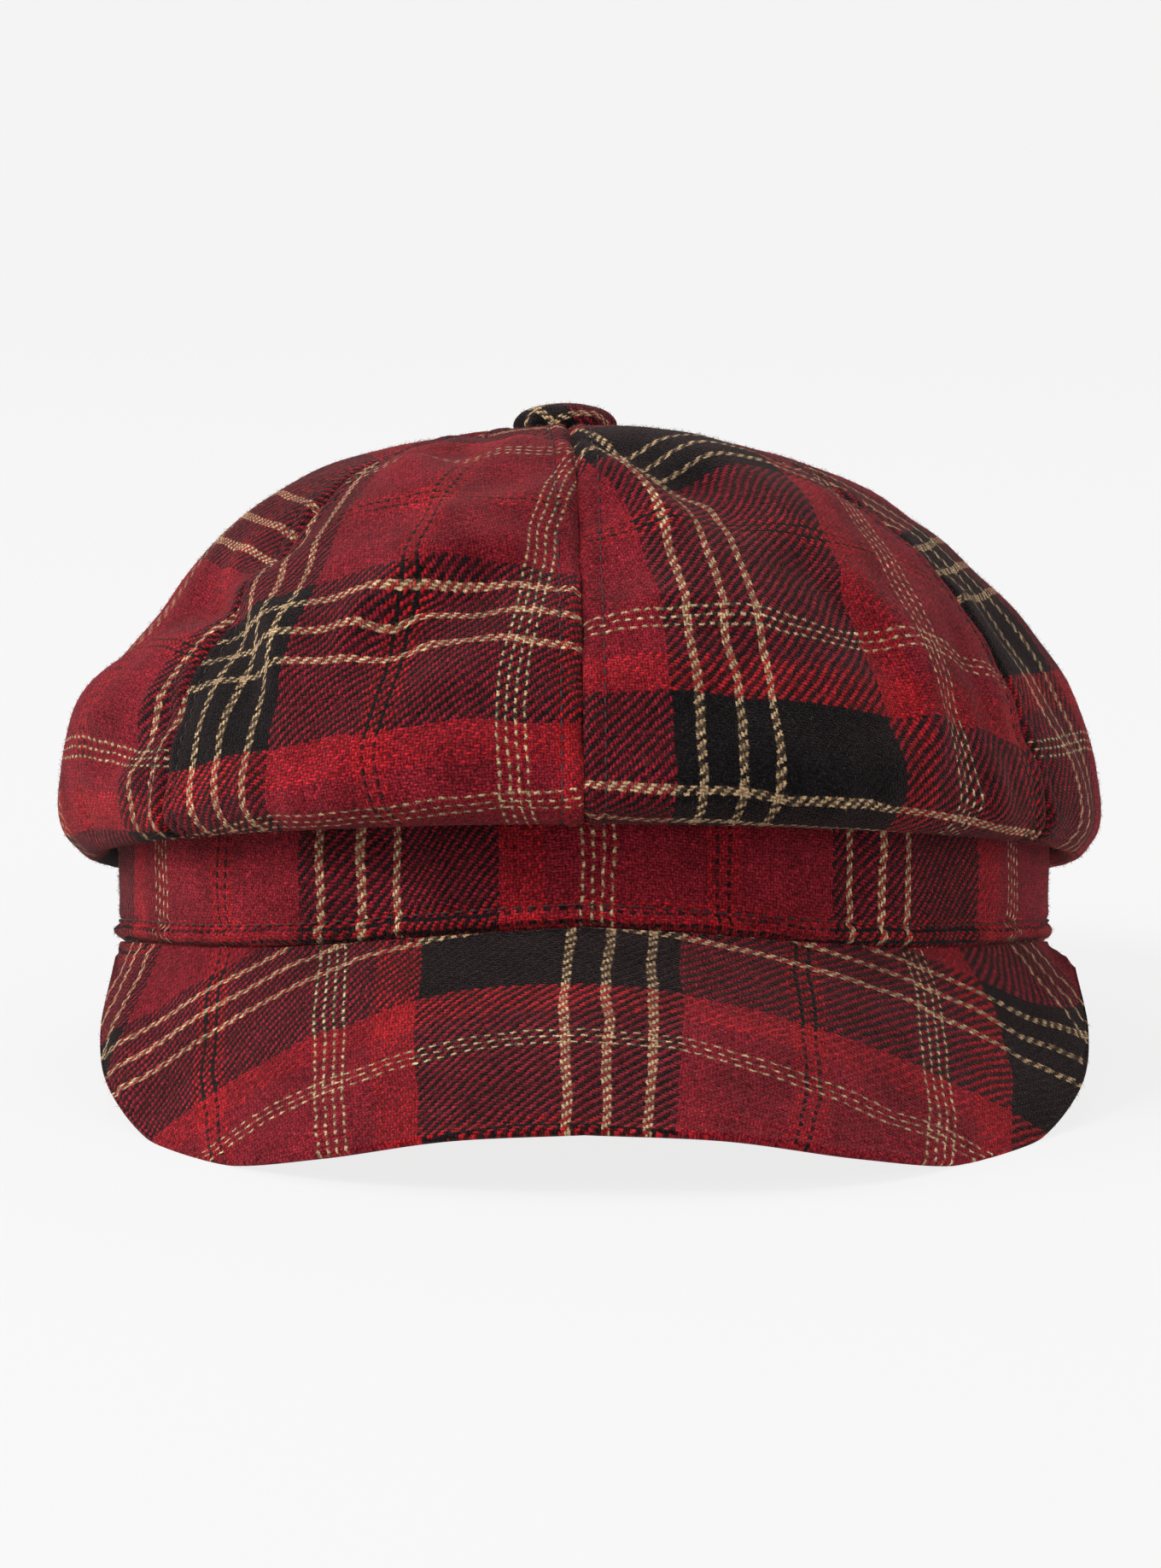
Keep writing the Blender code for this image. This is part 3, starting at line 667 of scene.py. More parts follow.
def peakWall(along, out):
    level = np.array([0.0, 0.0, 1.0])
    slope = peakNormal(along, 0 * along)
    thin = (np.abs(along) ** peak["endPower"])[..., None]
    wall = peak["wall"] + (peak["endWall"] - peak["wall"]) * thin
    edgeWall = peak["edgeWall"] + (peak["endWall"] - peak["edgeWall"]) * thin
    crease = (level + slope) * wall / (1 + slope[..., 2:])
    outside = peakNormal(along, 0 * along + 1) * edgeWall
    share = out[..., None]
    return np.where(share < 0, crease + (level * wall - crease) * -share, crease + (outside - crease) * share)


def makePeak(material):
    p = peak
    nearEdge = 1 - p["edgeShare"] * (1 - np.sin(np.linspace(0, math.pi / 2, p["edgeRows"] + 1)[1:]))
    under = np.linspace(-1, 0, p["underRows"] + 1)[:-1]
    outs = np.concatenate([under, np.linspace(0, 1 - p["edgeShare"], p["rows"]), nearEdge])
    along, out = np.meshgrid(np.linspace(-1, 1, p["columns"] + 1), outs)
    top, wall = peakTop(along, out), peakWall(along, out)
    normal = peakNormal(along, np.clip(out, 0, 1))
    fromEdgeMm = (1 - out) * p["depthMm"]
    share = edgeRounding(fromEdgeMm / 1000, p["edgeRadius"])[..., None]
    x, y = along * p["cloth"][0], out * p["cloth"][1]
    slack = sum(height * ripple(x, y, wavelength, seed) for height, wavelength, seed in p["waves"])
    slack = slack * smoothStep(*p["rises"], out) * (1 - smoothStep(*p["ends"], out))
    relief = slack + humped(fromEdgeMm - p["rollAtMm"], *p["roll"]) * (out > 0)
    middle = top - wall / 2
    outer = middle + wall / 2 * share + normal * (relief / 1000)[..., None]
    inner = middle - wall / 2 * share
    alongCoarse = np.linspace(-1, 1, p["chartColumns"])
    outCoarse = np.linspace(-p["chartUnder"], 1, p["chartRows"])
    x, y = np.meshgrid(alongCoarse, outCoarse)
    startMm, alongMm, outMm = p["chartMm"]
    guess = np.stack([startMm + x * alongMm, -y * outMm], -1)
    deep = 1 + p["chartUnder"]
    pins = [((a + 1) / 2, (o + p["chartUnder"]) / deep, 0 if thread == "warp" else 1, place)
            for thread, place, spots in p["tartan"] for a, o in spots]
    coarse = unrolled(peakTop(x, y), guess, pins)
    cloth = refined(coarse, outCoarse, alongCoarse, np.maximum(outs, -p["chartUnder"]), along[0])
    piece = clothMesh("peak_cloth", outer, inner, cloth, material)
    size = np.ptp(coarse.reshape(-1, 2), axis=0) / 1000
    return piece, (size, wallArea(top[p["underRows"]:]))


button = {
    "radius": 0.0098, "height": 0.0058, "stem": 0.0014, "steps": 120, "gathers": 9, "gatherMm": 0.35,
    "gatherRises": (0.45, 0.9), "gatherUneven": 0.8, "profile": 37, "outsideRows": 28,
    "place": (46.0, 22.0), "turn": 24.0,
    # out, up
    "section": ((0.0, 1.0), (0.42, 0.94), (0.74, 0.78), (0.93, 0.53), (1.0, 0.28), (0.97, 0.08), (0.88, 0.0)),
}


def makeButton(material):
    s = button
    rows = np.array([(i, *row) for i, row in enumerate(s["section"])], float)
    dome = curveThrough(rows, np.linspace(0, len(rows) - 1, s["profile"])) * (s["radius"], s["height"])
    stemEnd = -hat["gap"] - crown["wall"]
    profile = np.concatenate([dome, [(s["stem"], 0.0), (s["stem"], stemEnd), (0.0, stemEnd)]])
    turn = np.linspace(0, 2 * math.pi, s["steps"] + 1)[:-1]
    lower = np.concatenate([smoothStep(*s["gatherRises"], dome[:, 0] / s["radius"]), [0, 0, 0]])
    gather = np.cos(s["gathers"] * turn + s["gatherUneven"] * np.sin(2 * turn))[None] * lower[:, None]
    out = profile[:, :1] + gather * s["gatherMm"] / 1000
    out[0] = out[-1] = 0
    points = np.stack([out * np.sin(turn), -out * np.cos(turn), profile[:, 1:] + 0 * turn], -1)
    points += (-crown["leanToLeft"], 0, band["height"] + hat["gap"] * 2 + crown["rise"])
    # Way along the dome from its middle, so that the weave isn't stretched down its side.
    run = np.concatenate([[0.0], np.cumsum(np.linalg.norm(np.diff(profile, axis=0), axis=1))]) * 1000
    x, y = run[:, None] * np.sin(turn), run[:, None] * np.cos(turn)
    slant = math.radians(s["turn"])
    cloth = np.stack([s["place"][0] + x * math.cos(slant) - y * math.sin(slant),
                      s["place"][1] + x * math.sin(slant) + y * math.cos(slant), 0 * x], -1)

    # One vertex stands for each pole's whole row.
    def closed(grid):
        return np.concatenate([grid[:1, 0], grid[1:-1].reshape(-1, 3), grid[-1:, 0]])

    index = np.arange((len(profile) - 2) * len(turn)).reshape(len(profile) - 2, len(turn)) + 1
    following = np.roll(index, -1, axis=1)
    last = int(index[-1, -1]) + 1
    faces = [(0, int(a), int(b)) for a, b in zip(index[0], following[0])]
    faces += np.stack([index[:-1], index[1:], following[1:], following[:-1]], -1).reshape(-1, 4).tolist()
    faces += [(last, int(b), int(a)) for a, b in zip(index[-1], following[-1])]
    outsideCount = 1 + s["outsideRows"] * len(turn)
    return clothObject("button_cloth", closed(points), faces, closed(cloth), outsideCount, material)


cloth = {
    "threadMm": 0.55, "warpThreads": 187, "weftThreads": 174, "roughness": 0.95, "specular": 0.06,
    "sheenRoughness": 0.28, "sheenTint": (1.0, 0.62, 0.60), "bumpStrength": 0.8,
    "maroon": (0.165, 0.0085, 0.0150), "red": (0.255, 0.0088, 0.0130), "black": (0.0062, 0.0056, 0.0062),
    "beige": (0.370, 0.250, 0.140), "napTint": (0.30, 0.17, 0.14),
}

# Depth of the bump, sheen, and how much of the pale fibres' tint each finish of the cloth has.
finishes = {
    "tartan_cloth": {"bump": 0.00050, "sheen": 0.09, "pale": 0.0},
    "tartan_nap": {"bump": 0.0, "sheen": 0.2, "pale": 0.22},
}
sewingThread = {"colour": (0.022, 0.006, 0.008), "roughness": 0.75}

# The weave's unevenness. Noises are scale for each mm, detail and roughness.
weaving = {
    # scale, detail and amount in mm: threads that wander, and the nap that blurs their edges
    "wavers": ((0.055, 1.0, 2.4), (0.33, 1.0, 0.60), (1.9, 2.0, 0.78)),
    "yarn": (0.73, 1.0, 0.5), "nap": (1.25, 3.0, 0.80), "felt": (0.45, 2.0, 0.60), "patch": (0.06, 5.0, 0.70),
    # factor and offset of each part of the tone, whose first part is painted shade between the threads and at
    # the ends of the floats
    "paintedGapShade": (1.05, 0.36), "grain": (4.4, -1.15), "melange": (1.2, 0.40), "spread": (1.6, -0.66),
    "round": (0.6, 0.4), "leastGrain": 0.25, "cloud": 2.0, "yarnChange": 0.21, "leastSpread": 0.03,
    "mostSpread": 0.42, "threadHeight": 0.70, "napHeight": 0.8,
}

# The sett: the thread that each colour starts at.
warpSett = (
    (0, "black"), (44, "beige"), (47, "black"), (56, "beige"), (59, "black"), (69, "beige"), (72, "black"),
    (79, "maroon"), (112, "red"), (115, "black"), (116, "red"), (119, "black"), (120, "red"), (123, "maroon"),
    (154, "beige"), (155, "maroon"), (157, "beige"), (158, "maroon"), (160, "beige"), (161, "maroon"),
    (163, "beige"), (164, "maroon"), (173, "red"),
)
weftSett = (
    (0, "black"), (31, "beige"), (34, "black"), (44, "beige"), (47, "black"), (56, "beige"), (59, "black"),
    (66, "maroon"), (99, "red"), (102, "black"), (103, "red"), (106, "black"), (107, "red"), (110, "maroon"),
    (143, "beige"), (144, "maroon"), (146, "beige"), (147, "maroon"), (149, "beige"), (150, "maroon"),
    (160, "red"),
)


# Short ways to add nodes to a tree.
class Nodes:
    def __init__(self, tree):
        self.tree = tree

    def add(self, kind, sockets=None, **settings):
        node = self.tree.nodes.new(kind)
        for name, value in settings.items():
            setattr(node, name, value)
        for key, source in (sockets or {}).items():
            self.link(source, node.inputs[key])
        return node

    def link(self, source, target):
        if isinstance(source, (int, float, str, tuple)):
            target.default_value = source
        else:
            self.tree.links.new(source, target)

    def math(self, operation, *sources):
        return self.add("ShaderNodeMath", dict(enumerate(sources)), operation=operation).outputs[0]

    def vector(self, operation, *sources):
        return self.add("ShaderNodeVectorMath", dict(enumerate(sources)), operation=operation).outputs[0]

    def times(self, first, *others):
        for other in others:
            first = self.math("MULTIPLY", first, other)
        return first

    def scaled(self, source, factor, offset):
        return self.math("ADD", self.math("MULTIPLY", source, factor), offset)

    def combined(self, x=0.0, y=0.0, z=0.0):
        return self.add("ShaderNodeCombineXYZ", {0: x, 1: y, 2: z}).outputs[0]

    def separated(self, source):
        return self.add("ShaderNodeSeparateXYZ", {0: source}).outputs

    def noise(self, where, scale, detail, roughness):
        sockets = {"Vector": where, "Scale": scale, "Detail": detail, "Roughness": roughness}
        return self.add("ShaderNodeTexNoise", sockets).outputs

    def mix(self, kind, share, a, b, blend="MIX"):
        first = {"FLOAT": 2, "RGBA": 6}[kind]
        node = self.add("ShaderNodeMix", {0: share, first: a, first + 1: b}, data_type=kind, blend_type=blend)
        return node.outputs[{"FLOAT": 0, "RGBA": 2}[kind]]

    # Colour at a place in the sett, from one ramp for each half, since a ramp has 256 steps.
    def sett(self, place, rows, repeat):
        halves = []
        for low in (0.0, 0.5):
            ramp = self.add("ShaderNodeValToRGB", {0: self.times(self.math("SUBTRACT", place, low), 2.0)})
            ramp.color_ramp.interpolation = "CONSTANT"
            elements = ramp.color_ramp.elements
            elements.remove(elements[1])
            inside = [(max(start / repeat - low, 0.0) * 2, colour)
                      for start, colour in rows if start / repeat < low + 0.5]
            first = max(index for index, (at, _) in enumerate(inside) if at <= 0.0)
            for at, colour in inside[first:]:
                element = elements[0] if at <= 0.0 else elements.new(at)
                element.position = at
                element.color = (*cloth[colour], 1.0)
            halves.append(ramp.outputs[0])
        return self.mix("RGBA", self.math("GREATER_THAN", place, 0.5), *halves)


# Shader group: the tartan's colour and height from its place in mm.
def weaveGroup():
    tree = bpy.data.node_groups.new("tartanTwill", "ShaderNodeTree")
    tree.interface.new_socket("Place", in_out="INPUT", socket_type="NodeSocketVector")
    tree.interface.new_socket("Color", in_out="OUTPUT", socket_type="NodeSocketColor")
    tree.interface.new_socket("Height", in_out="OUTPUT", socket_type="NodeSocketFloat")
    n, w = Nodes(tree), weaving
    entry, leave = n.add("NodeGroupInput"), n.add("NodeGroupOutput")
    place = moved = entry.outputs[0]
    for scale, detail, amount in w["wavers"]:
        centred = n.vector("SUBTRACT", n.noise(place, scale, detail, 0.5)["Color"], (0.5, 0.5, 0.5))
        shift = n.add("ShaderNodeVectorMath", {0: centred, "Scale": amount}, operation="SCALE").outputs[0]
        moved = n.vector("ADD", moved, shift)
    split = n.separated(moved)
    across, up = (n.math("DIVIDE", split[axis], cloth["threadMm"]) for axis in range(2))
    warp, weft = n.math("FLOOR", across), n.math("FLOOR", up)
    inWarp, inWeft = n.math("FRACT", across), n.math("FRACT", up)

    def settColour(thread, sett, repeat):
        within = n.math("FLOORED_MODULO", thread, float(repeat))
        return n.sett(n.math("DIVIDE", n.math("ADD", within, 0.5), float(repeat)), sett, repeat)

    warpColour = settColour(warp, warpSett, cloth["warpThreads"])
    weftColour = settColour(weft, weftSett, cloth["weftThreads"])
    # Two over and two under, one thread further along in each row.
    step = n.math("FLOORED_MODULO", n.math("SUBTRACT", warp, weft), 4.0)
    weftOver = n.math("GREATER_THAN", step, 1.5)
    colour = n.mix("RGBA", weftOver, warpColour, weftColour)

    def bump(share):
        centred = n.scaled(share, 2.0, -1.0)
        return n.math("SUBTRACT", 1.0, n.times(centred, centred))

    def threadHeight(beside, along):
        return n.times(bump(beside), n.scaled(bump(along), *w["round"]))

    warpRun = n.times(n.math("ADD", inWeft, n.math("SUBTRACT", 1.0, step)), 0.5)
    weftRun = n.times(n.math("ADD", inWarp, n.math("SUBTRACT", step, 2.0)), 0.5)
    thread = n.mix("FLOAT", weftOver, threadHeight(inWarp, warpRun), threadHeight(inWeft, weftRun))

    # Each thread has a brightness of its own, which changes slowly along it.
    number, other = n.mix("FLOAT", weftOver, warp, weft), n.mix("FLOAT", weftOver, weft, warp)
    yarn = n.noise(n.combined(number, n.times(other, w["yarnChange"]), weftOver), *w["yarn"])[0]

    # Nap: fibres lighten and roughen the weave, unevenly.
    nap, felt, patch = (n.noise(place, *w[kind])[0] for kind in ("nap", "felt", "patch"))
    grain = n.math("MAXIMUM", n.scaled(nap, *w["grain"]), w["leastGrain"])
    # Painted shade: the colour darkens where the thread is low, between the threads and at the ends of each
    # float, on top of the bump.
    paintedGapShade, melange = n.scaled(thread, *w["paintedGapShade"]), n.scaled(yarn, *w["melange"])
    total = n.times(paintedGapShade, grain, n.times(patch, w["cloud"]), melange)
    # This tone holds the painted shade between the threads, times the random nap, patches and yarn shades.
    paintedShadeAndMottle = n.add("ShaderNodeCombineColor", {0: total, 1: total, 2: total}).outputs[0]
    # The felted fibres carry some of each thread's colour over its neighbours.
    spread = n.math("MAXIMUM", n.scaled(felt, *w["spread"]), w["leastSpread"])
    spread = n.math("MINIMUM", spread, w["mostSpread"])
    felted = n.mix("RGBA", spread, colour, n.mix("RGBA", 0.5, warpColour, weftColour))
    n.link(n.mix("RGBA", 1.0, felted, paintedShadeAndMottle, "MULTIPLY"), leave.inputs["Color"])
    height = n.math("ADD", n.times(thread, w["threadHeight"]), n.times(nap, w["napHeight"]))
    n.link(height, leave.inputs["Height"])
    return tree


def newMaterial(name, sockets):
    material = bpy.data.materials.new(name)
    material.use_nodes = True
    shader = material.node_tree.nodes["Principled BSDF"]
    for title, value in sockets.items():
        shader.inputs[title].default_value = value
    return material, shader


def clothMaterial(name, group):
    finish = finishes[name]
    material, shader = newMaterial(name, {
        "Roughness": cloth["roughness"], "Specular IOR Level": cloth["specular"],
        "Sheen Weight": finish["sheen"], "Sheen Roughness": cloth["sheenRoughness"],
        "Sheen Tint": (*cloth["sheenTint"], 1.0),
    })
    n = Nodes(material.node_tree)
    place = n.add("ShaderNodeAttribute", attribute_name="cloth")
    weave = n.add("ShaderNodeGroup", node_tree=group)
    n.link(place.outputs["Vector"], weave.inputs[0])
    colour = weave.outputs["Color"]
    if finish["pale"]:
        colour = n.mix("RGBA", finish["pale"], colour, (*cloth["napTint"], 1.0))
    n.link(colour, shader.inputs["Base Color"])
    if finish["bump"]:
        height = weave.outputs["Height"]
        sockets = {"Strength": cloth["bumpStrength"], "Distance": finish["bump"], "Height": height}
        n.link(n.add("ShaderNodeBump", sockets).outputs[0], shader.inputs["Normal"])
    return material


weave = weaveGroup()
tartan, napMaterial = clothMaterial("tartan_cloth", weave), clothMaterial("tartan_nap", weave)
threadMaterial, _ = newMaterial("sewing_thread", {
    "Base Color": (*sewingThread["colour"], 1.0), "Roughness": sewingThread["roughness"],
})
print("materials made")

sheets = {}
for name, start, end in crown["gores"]:
    piece, size, area = makeGore(name, start, end, tartan)
    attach(piece, "root")
    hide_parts(name)
    sheets[name] = (piece, size, area)

bandPiece, bandFlat = makeBand(tartan)
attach(bandPiece, "root")
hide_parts("band")

peakPiece, peakFlat = makePeak(tartan)
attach(peakPiece, "root")
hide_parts("peak")

buttonPiece = makeButton(tartan)
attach(buttonPiece, "root")
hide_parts("button")
print("cloth pieces made")

# Fibres on each square metre, their length and radius, how far they lie down in radians, and their bend.
fibres = {
    "count": 520000.0, "length": 0.0008, "radius": 0.000042, "leastLie": 0.5, "lie": 1.50, "curl": 0.55,
    "spin": 6.2832, "sizes": (0.45, 1.25), "lowest": 0.00005,
}


# A geometry tree with named inputs, run once on a mesh and turned into a plain mesh.
class GeometryNodes(Nodes):
    def __init__(self, name, inputs):
        super().__init__(bpy.data.node_groups.new(name, "GeometryNodeTree"))
        self.tree.is_modifier = True
        face = self.tree.interface
        face.new_socket("Geometry", in_out="INPUT", socket_type="NodeSocketGeometry")
        self.keys = {}
        for title, kind in inputs.items():
            socket = face.new_socket(title, in_out="INPUT", socket_type="NodeSocket" + kind)
            self.keys[title] = socket.identifier
        face.new_socket("Geometry", in_out="OUTPUT", socket_type="NodeSocketGeometry")
        self.given, self.leave = self.add("NodeGroupInput").outputs, self.add("NodeGroupOutput")

    # Ends the tree with one shape on each point, realised and given its material.
    def scatter(self, points, shape, **sockets):
        instances = self.add("GeometryNodeInstanceOnPoints", {"Points": points, "Instance": shape, **sockets})
        realised = self.add("GeometryNodeRealizeInstances", {0: instances.outputs[0]})
        sockets = {"Geometry": realised.outputs[0], "Material": self.given["Material"]}
        self.link(self.add("GeometryNodeSetMaterial", sockets).outputs[0], self.leave.inputs[0])

    def run(self, name, mesh, settings):
        maker = bpy.data.objects.new(name + "_maker", mesh)
        bpy.context.scene.collection.objects.link(maker)
        modifier = maker.modifiers.new("nodes", "NODES")
        modifier.node_group = self.tree
        for title, value in settings.items():
            modifier[self.keys[title]] = value
        maker.update_tag()
        graph = bpy.context.evaluated_depsgraph_get()
        made = bpy.data.meshes.new_from_object(maker.evaluated_get(graph), depsgraph=graph)
        bpy.data.objects.remove(maker)
        made.name = name
        piece = bpy.data.objects.new(name, made)
        bpy.context.scene.collection.objects.link(piece)
        print(name, "faces", len(made.polygons))
        return piece


def fibreNodes():
    n = GeometryNodes("fibres", {
        "Count": "Float", "Length": "Float", "Radius": "Float", "Lie": "Float", "Seed": "Int",
        "Material": "Material",
    })
    scatter = n.add("GeometryNodeDistributePointsOnFaces", {
        "Mesh": n.given["Geometry"], "Density": n.given["Count"], "Seed": n.given["Seed"],
    }, distribute_method="RANDOM")
    cone = n.add("GeometryNodeMeshCone", {
        "Vertices": 3, "Side Segments": 1, "Radius Top": 0.0, "Radius Bottom": n.given["Radius"],
        "Depth": n.given["Length"],
    }, fill_type="NGON")
    height = n.separated(n.add("GeometryNodeInputPosition").outputs[0])[2]
    rise = n.math("DIVIDE", height, n.given["Length"])
    curl = n.times(rise, rise, n.given["Length"], fibres["curl"])
    bent = n.add("GeometryNodeSetPosition", {"Geometry": cone.outputs["Mesh"], "Offset": n.combined(curl)})

    def chance(low, high, step):
        seed = n.math("ADD", n.given["Seed"], float(step))
        return n.add("FunctionNodeRandomValue", {2: low, 3: high, "Seed": seed}, data_type="FLOAT").outputs[1]

    def turned(before, euler):
        sockets = {0: before, 1: n.add("FunctionNodeEulerToRotation", {0: euler}).outputs[0]}
        return n.add("FunctionNodeRotateRotation", sockets, rotation_space="LOCAL").outputs[0]

    lie = chance(fibres["leastLie"], n.given["Lie"], 1)
    spin = chance(0.0, fibres["spin"], 2)
    size = chance(*fibres["sizes"], 3)
    rotation = turned(turned(scatter.outputs["Rotation"], n.combined(z=spin)), n.combined(lie))
    n.scatter(scatter.outputs["Points"], bent.outputs[0], Rotation=rotation, Scale=size)
    return n


def stitchNodes():
    n = GeometryNodes("stitches", {"Length": "Float", "Radius": "Float", "Material": "Material"})
    rod = n.add("GeometryNodeMeshCylinder", {
        "Vertices": 6, "Side Segments": 4, "Radius": n.given["Radius"], "Depth": n.given["Length"],
    }, fill_type="NGON")
    x, y, z = n.separated(n.add("GeometryNodeInputPosition").outputs[0])
    share = n.math("DIVIDE", z, n.given["Length"])
    squared = n.times(share, share)
    taper = n.math("SUBTRACT", 1.0, n.times(squared, sewing["stitchTaper"]))
    # The rod is drawn along Z, and laid along X with its ends sunk into the cloth.
    sink = n.times(squared, n.given["Length"], -1.0)
    place = n.combined(z, n.times(y, taper), n.math("ADD", n.times(x, -1.0, taper), sink))
    bent = n.add("GeometryNodeSetPosition", {"Geometry": rod.outputs["Mesh"], "Position": place})
    along, outward = (
        n.add("GeometryNodeInputNamedAttribute", {"Name": title}, data_type="FLOAT_VECTOR").outputs[0]
        for title in ("along", "outward")
    )
    axes = n.add("FunctionNodeAxesToRotation", {0: along, 1: outward}, primary_axis="X", secondary_axis="Z")
    n.scatter(n.given["Geometry"], bent.outputs[0], Rotation=axes.outputs[0])
    return n


# The outer faces of some cloth pieces as one mesh, with the weave's places.
def outsideOf(pieces, name):
    points, places, faces, first = [], [], [], 0
    for piece in pieces:
        mesh = piece.data
        count = len(mesh.vertices)
        co, place, outside = np.zeros(count * 3), np.zeros(count * 3), np.zeros(count)
        mesh.vertices.foreach_get("co", co)
        mesh.attributes["cloth"].data.foreach_get("vector", place)
        mesh.attributes["outside"].data.foreach_get("value", outside)
        corners = np.zeros(len(mesh.loops), int)
        mesh.loops.foreach_get("vertex_index", corners)
        four = np.zeros(len(mesh.polygons), int)
        mesh.polygons.foreach_get("loop_total", four)
        starts = np.concatenate([[0], np.cumsum(four)])[:-1][four == 4]
        quads = corners[starts[:, None] + np.arange(4)]
        quads = quads[outside[quads].min(axis=1) > 0.5]
        points.append(co.reshape(-1, 3))
        places.append(place.reshape(-1, 3))
        faces.append(quads + first)
        first += count
    mesh = bpy.data.meshes.new(name)
    mesh.from_pydata(np.concatenate(points).tolist(), [], np.concatenate(faces).tolist())
    flat = np.concatenate(places).ravel()
    mesh.attributes.new("cloth", "FLOAT_VECTOR", "POINT").data.foreach_set("vector", flat)
    return mesh


# Each nap's cloth pieces, slot and seed.
naps = {
    "crown_nap": ([sheet[0] for sheet in sheets.values()] + [buttonPiece], "crown_cloth", 5),
    "band_nap": ([bandPiece], "band_cloth", 6),
    "peak_nap": ([peakPiece], "peak_cloth", 7),
}
fibreTree = fibreNodes()
for name, (sources, slotName, seed) in naps.items():
    settings = {title: fibres[title.lower()] for title in ("Count", "Length", "Radius", "Lie")}
    settings.update(Seed=seed, Material=napMaterial)
    nap = fibreTree.run(name, outsideOf(sources, name + "_base"), settings)
    for vertex in nap.data.vertices:
        vertex.co.z = max(vertex.co.z, fibres["lowest"])
    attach(nap, "root")


# Places, ways along and outward directions of the stitches on both sides of a gore.
def goreStitches(start, end):
    s = sewing
    steps = np.linspace(*s["stitchSpan"], s["stitchSteps"])
    run = meridianMm((start + end) / 2, steps)
    down = np.interp(np.arange(run[0] + s["stitchFromMm"], run[-1], s["pitchMm"]), run, steps)
    found = []
    for side in (0.0, 1.0):
        seam = np.full(len(down), start + (end - start) * side)
        reach = np.linalg.norm(crownBase(seam, down)[..., :2], axis=-1)
        share = s["lineAtMm"] / (reach * 1000 * math.radians(end - start))
        keep = share < s["stitchMostAcross"]
        across = np.abs(side - share[keep])

        def surface(down):
            base, normal, shift, height = goreForm(start, end, across, down)
            height = height + sewnHeight(start, end, across, down) + s["threadLift"]
            height = height + creaseHeight(start + (end - start) * across, down)
            return base + normal * height[..., None] + shift, normal

        here, normal = surface(down[keep])
        there, _ = surface(down[keep] + s["stitchAhead"])
        found.append((here, unit(there - here), normal))
    return [np.concatenate(part) for part in zip(*found)]


def bandStitches():
    s = sewing
    count = int(s["bandStitchesMm"] / s["pitchMm"])
    angle = -s["bandStitchTurn"] / 2 + s["bandStitchTurn"] * np.arange(count) / (count - 1)
    places = []
    for turn in (angle, angle + s["bandStitchAhead"]):
        points = bandOutline(turn, np.full(count, s["bandStitchInset"]))
        points[..., 2] = bandEdge(turn) + band["stitchLine"]
        places.append(points)
    here, there = places
    return here, unit(there - here), unit(here * (1.0, 1.0, 0.0))


def makeStitches(name, parts):
    here, along, outward = (np.concatenate(part) for part in zip(*parts))
    mesh = bpy.data.meshes.new(name + "_places")
    mesh.from_pydata(laid(here).tolist(), [], [])
    for title, vectors in (("along", along), ("outward", outward)):
        turned = vectors @ turnToWorld.T
        mesh.attributes.new(title, "FLOAT_VECTOR", "POINT").data.foreach_set("vector", turned.ravel())
    size = {"Length": sewing["stitchMm"] / 1000, "Radius": sewing["stitchRadiusMm"] / 1000}
    made = stitchTree.run(name, mesh, {**size, "Material": threadMaterial})
    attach(made, "root")


stitchTree = stitchNodes()
makeStitches("crown_stitches", [goreStitches(start, end) for _, start, end in crown["gores"]])
makeStitches("band_stitches", [bandStitches()])
print("nap and stitches made")

stage = {"radius": 3.2, "flat": 1.9, "rise": 1.6, "steps": 96, "curveSteps": 12,
         "colour": (0.09, 0.09, 0.09), "glow": 0.815, "world": 0.17}


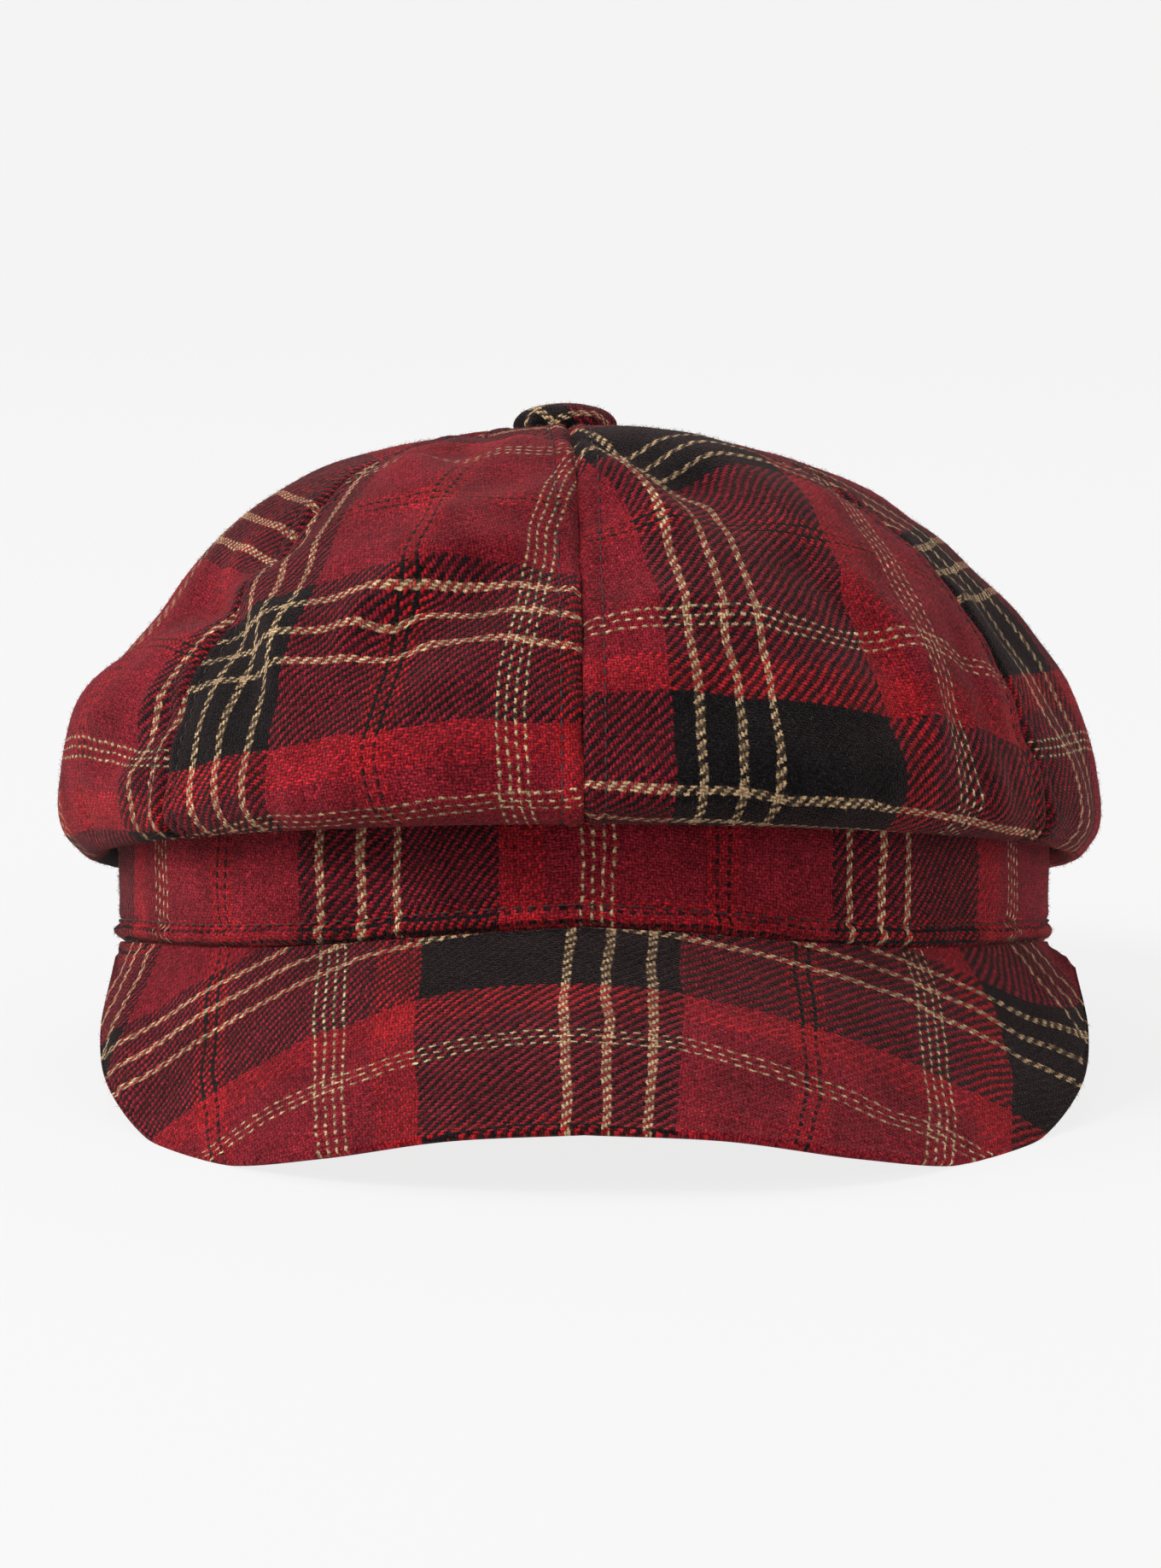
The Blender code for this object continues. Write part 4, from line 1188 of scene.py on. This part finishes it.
# A round pale floor that curves up into a backdrop on all sides.
def makeStage():
    profile = [(0.0, 0.0), (stage["flat"], 0.0)]
    for step in range(1, stage["curveSteps"] + 1):
        turn = math.pi / 2 * step / stage["curveSteps"]
        profile.append((stage["flat"] + (stage["radius"] - stage["flat"]) * math.sin(turn),
                        (stage["radius"] - stage["flat"]) * (1 - math.cos(turn))))
    profile.append((stage["radius"], stage["radius"] - stage["flat"] + stage["rise"]))
    steps = stage["steps"]
    points = [(0.0, 0.0, 0.0)]
    for radius, height in profile[1:]:
        for step in range(steps):
            turn = 2 * math.pi * step / steps
            points.append((radius * math.cos(turn), radius * math.sin(turn), height))
    faces = [(0, 1 + s, 1 + (s + 1) % steps) for s in range(steps)]
    for ring in range(len(profile) - 2):
        low, high = 1 + ring * steps, 1 + (ring + 1) * steps
        faces += [(low + s, high + s, high + (s + 1) % steps, low + (s + 1) % steps) for s in range(steps)]
    mesh = bpy.data.meshes.new("backdrop")
    mesh.from_pydata(points, [], faces)
    mesh.polygons.foreach_set("use_smooth", [True] * len(faces))
    paper, _ = newMaterial("backdrop_paper", {
        "Base Color": (*stage["colour"], 1.0), "Roughness": 1.0, "Specular IOR Level": 0.0,
        "Emission Color": (1.0, 1.0, 1.0, 1.0), "Emission Strength": stage["glow"],
    })
    mesh.materials.append(paper)
    floor = bpy.data.objects.new("backdrop", mesh)
    bpy.context.scene.collection.objects.link(floor)


makeStage()

camera = {
    "distance": 1.3, "below": 4.0, "right": -0.000655, "height": 0.0319, "lens": 155.75, "sensor": 36.0,
}
below = math.radians(camera["below"])
lookUp = Matrix((
    (1.0, 0.0, 0.0), (0.0, -math.sin(below), -math.cos(below)), (0.0, math.cos(below), -math.sin(below)),
))
eye = lookUp @ Vector((0.0, camera["height"], camera["distance"])) + Vector((camera["right"], 0.0, 0.0))
viewer = bpy.data.cameras.new("camera")
viewer.lens, viewer.sensor_fit = camera["lens"], "VERTICAL"
viewer.sensor_height = viewer.sensor_width = camera["sensor"]
viewer.clip_start, viewer.clip_end = 0.05, 20.0
seat = bpy.data.objects.new("camera", viewer)
bpy.context.scene.collection.objects.link(seat)
seat.matrix_world = lying @ Matrix.Translation(eye) @ lookUp.to_4x4()
bpy.context.scene.camera = seat

# name, place, size, watts
lamps = (
    ("key", (-1.6, -1.1, 1.8), 0.8, 41.0),
    ("fill", (1.7, -1.2, 1.0), 1.4, 9.0),
    ("top", (-0.2, 0.3, 2.2), 1.6, 10.0),
    ("back", (0.2, 1.9, 1.6), 1.4, 6.0),
    ("side", (-2.1, -0.1, 0.9), 0.9, 25.0),
)
for name, place, size, watts in lamps:
    light = bpy.data.lights.new(name, "AREA")
    light.size, light.energy = size, watts
    lamp = bpy.data.objects.new(name, light)
    bpy.context.scene.collection.objects.link(lamp)
    toHat = Vector(place) - lying.translation
    lamp.matrix_world = Matrix.Translation(place) @ toHat.to_track_quat("Z", "Y").to_matrix().to_4x4()

world = bpy.data.worlds.new("studio")
world.use_nodes = True
world.node_tree.nodes["Background"].inputs[0].default_value = (1.0, 1.0, 1.0, 1.0)
world.node_tree.nodes["Background"].inputs[1].default_value = stage["world"]
bpy.context.scene.world = world
bpy.context.scene.view_settings.view_transform = "Standard"
print("stage, camera and lights made")
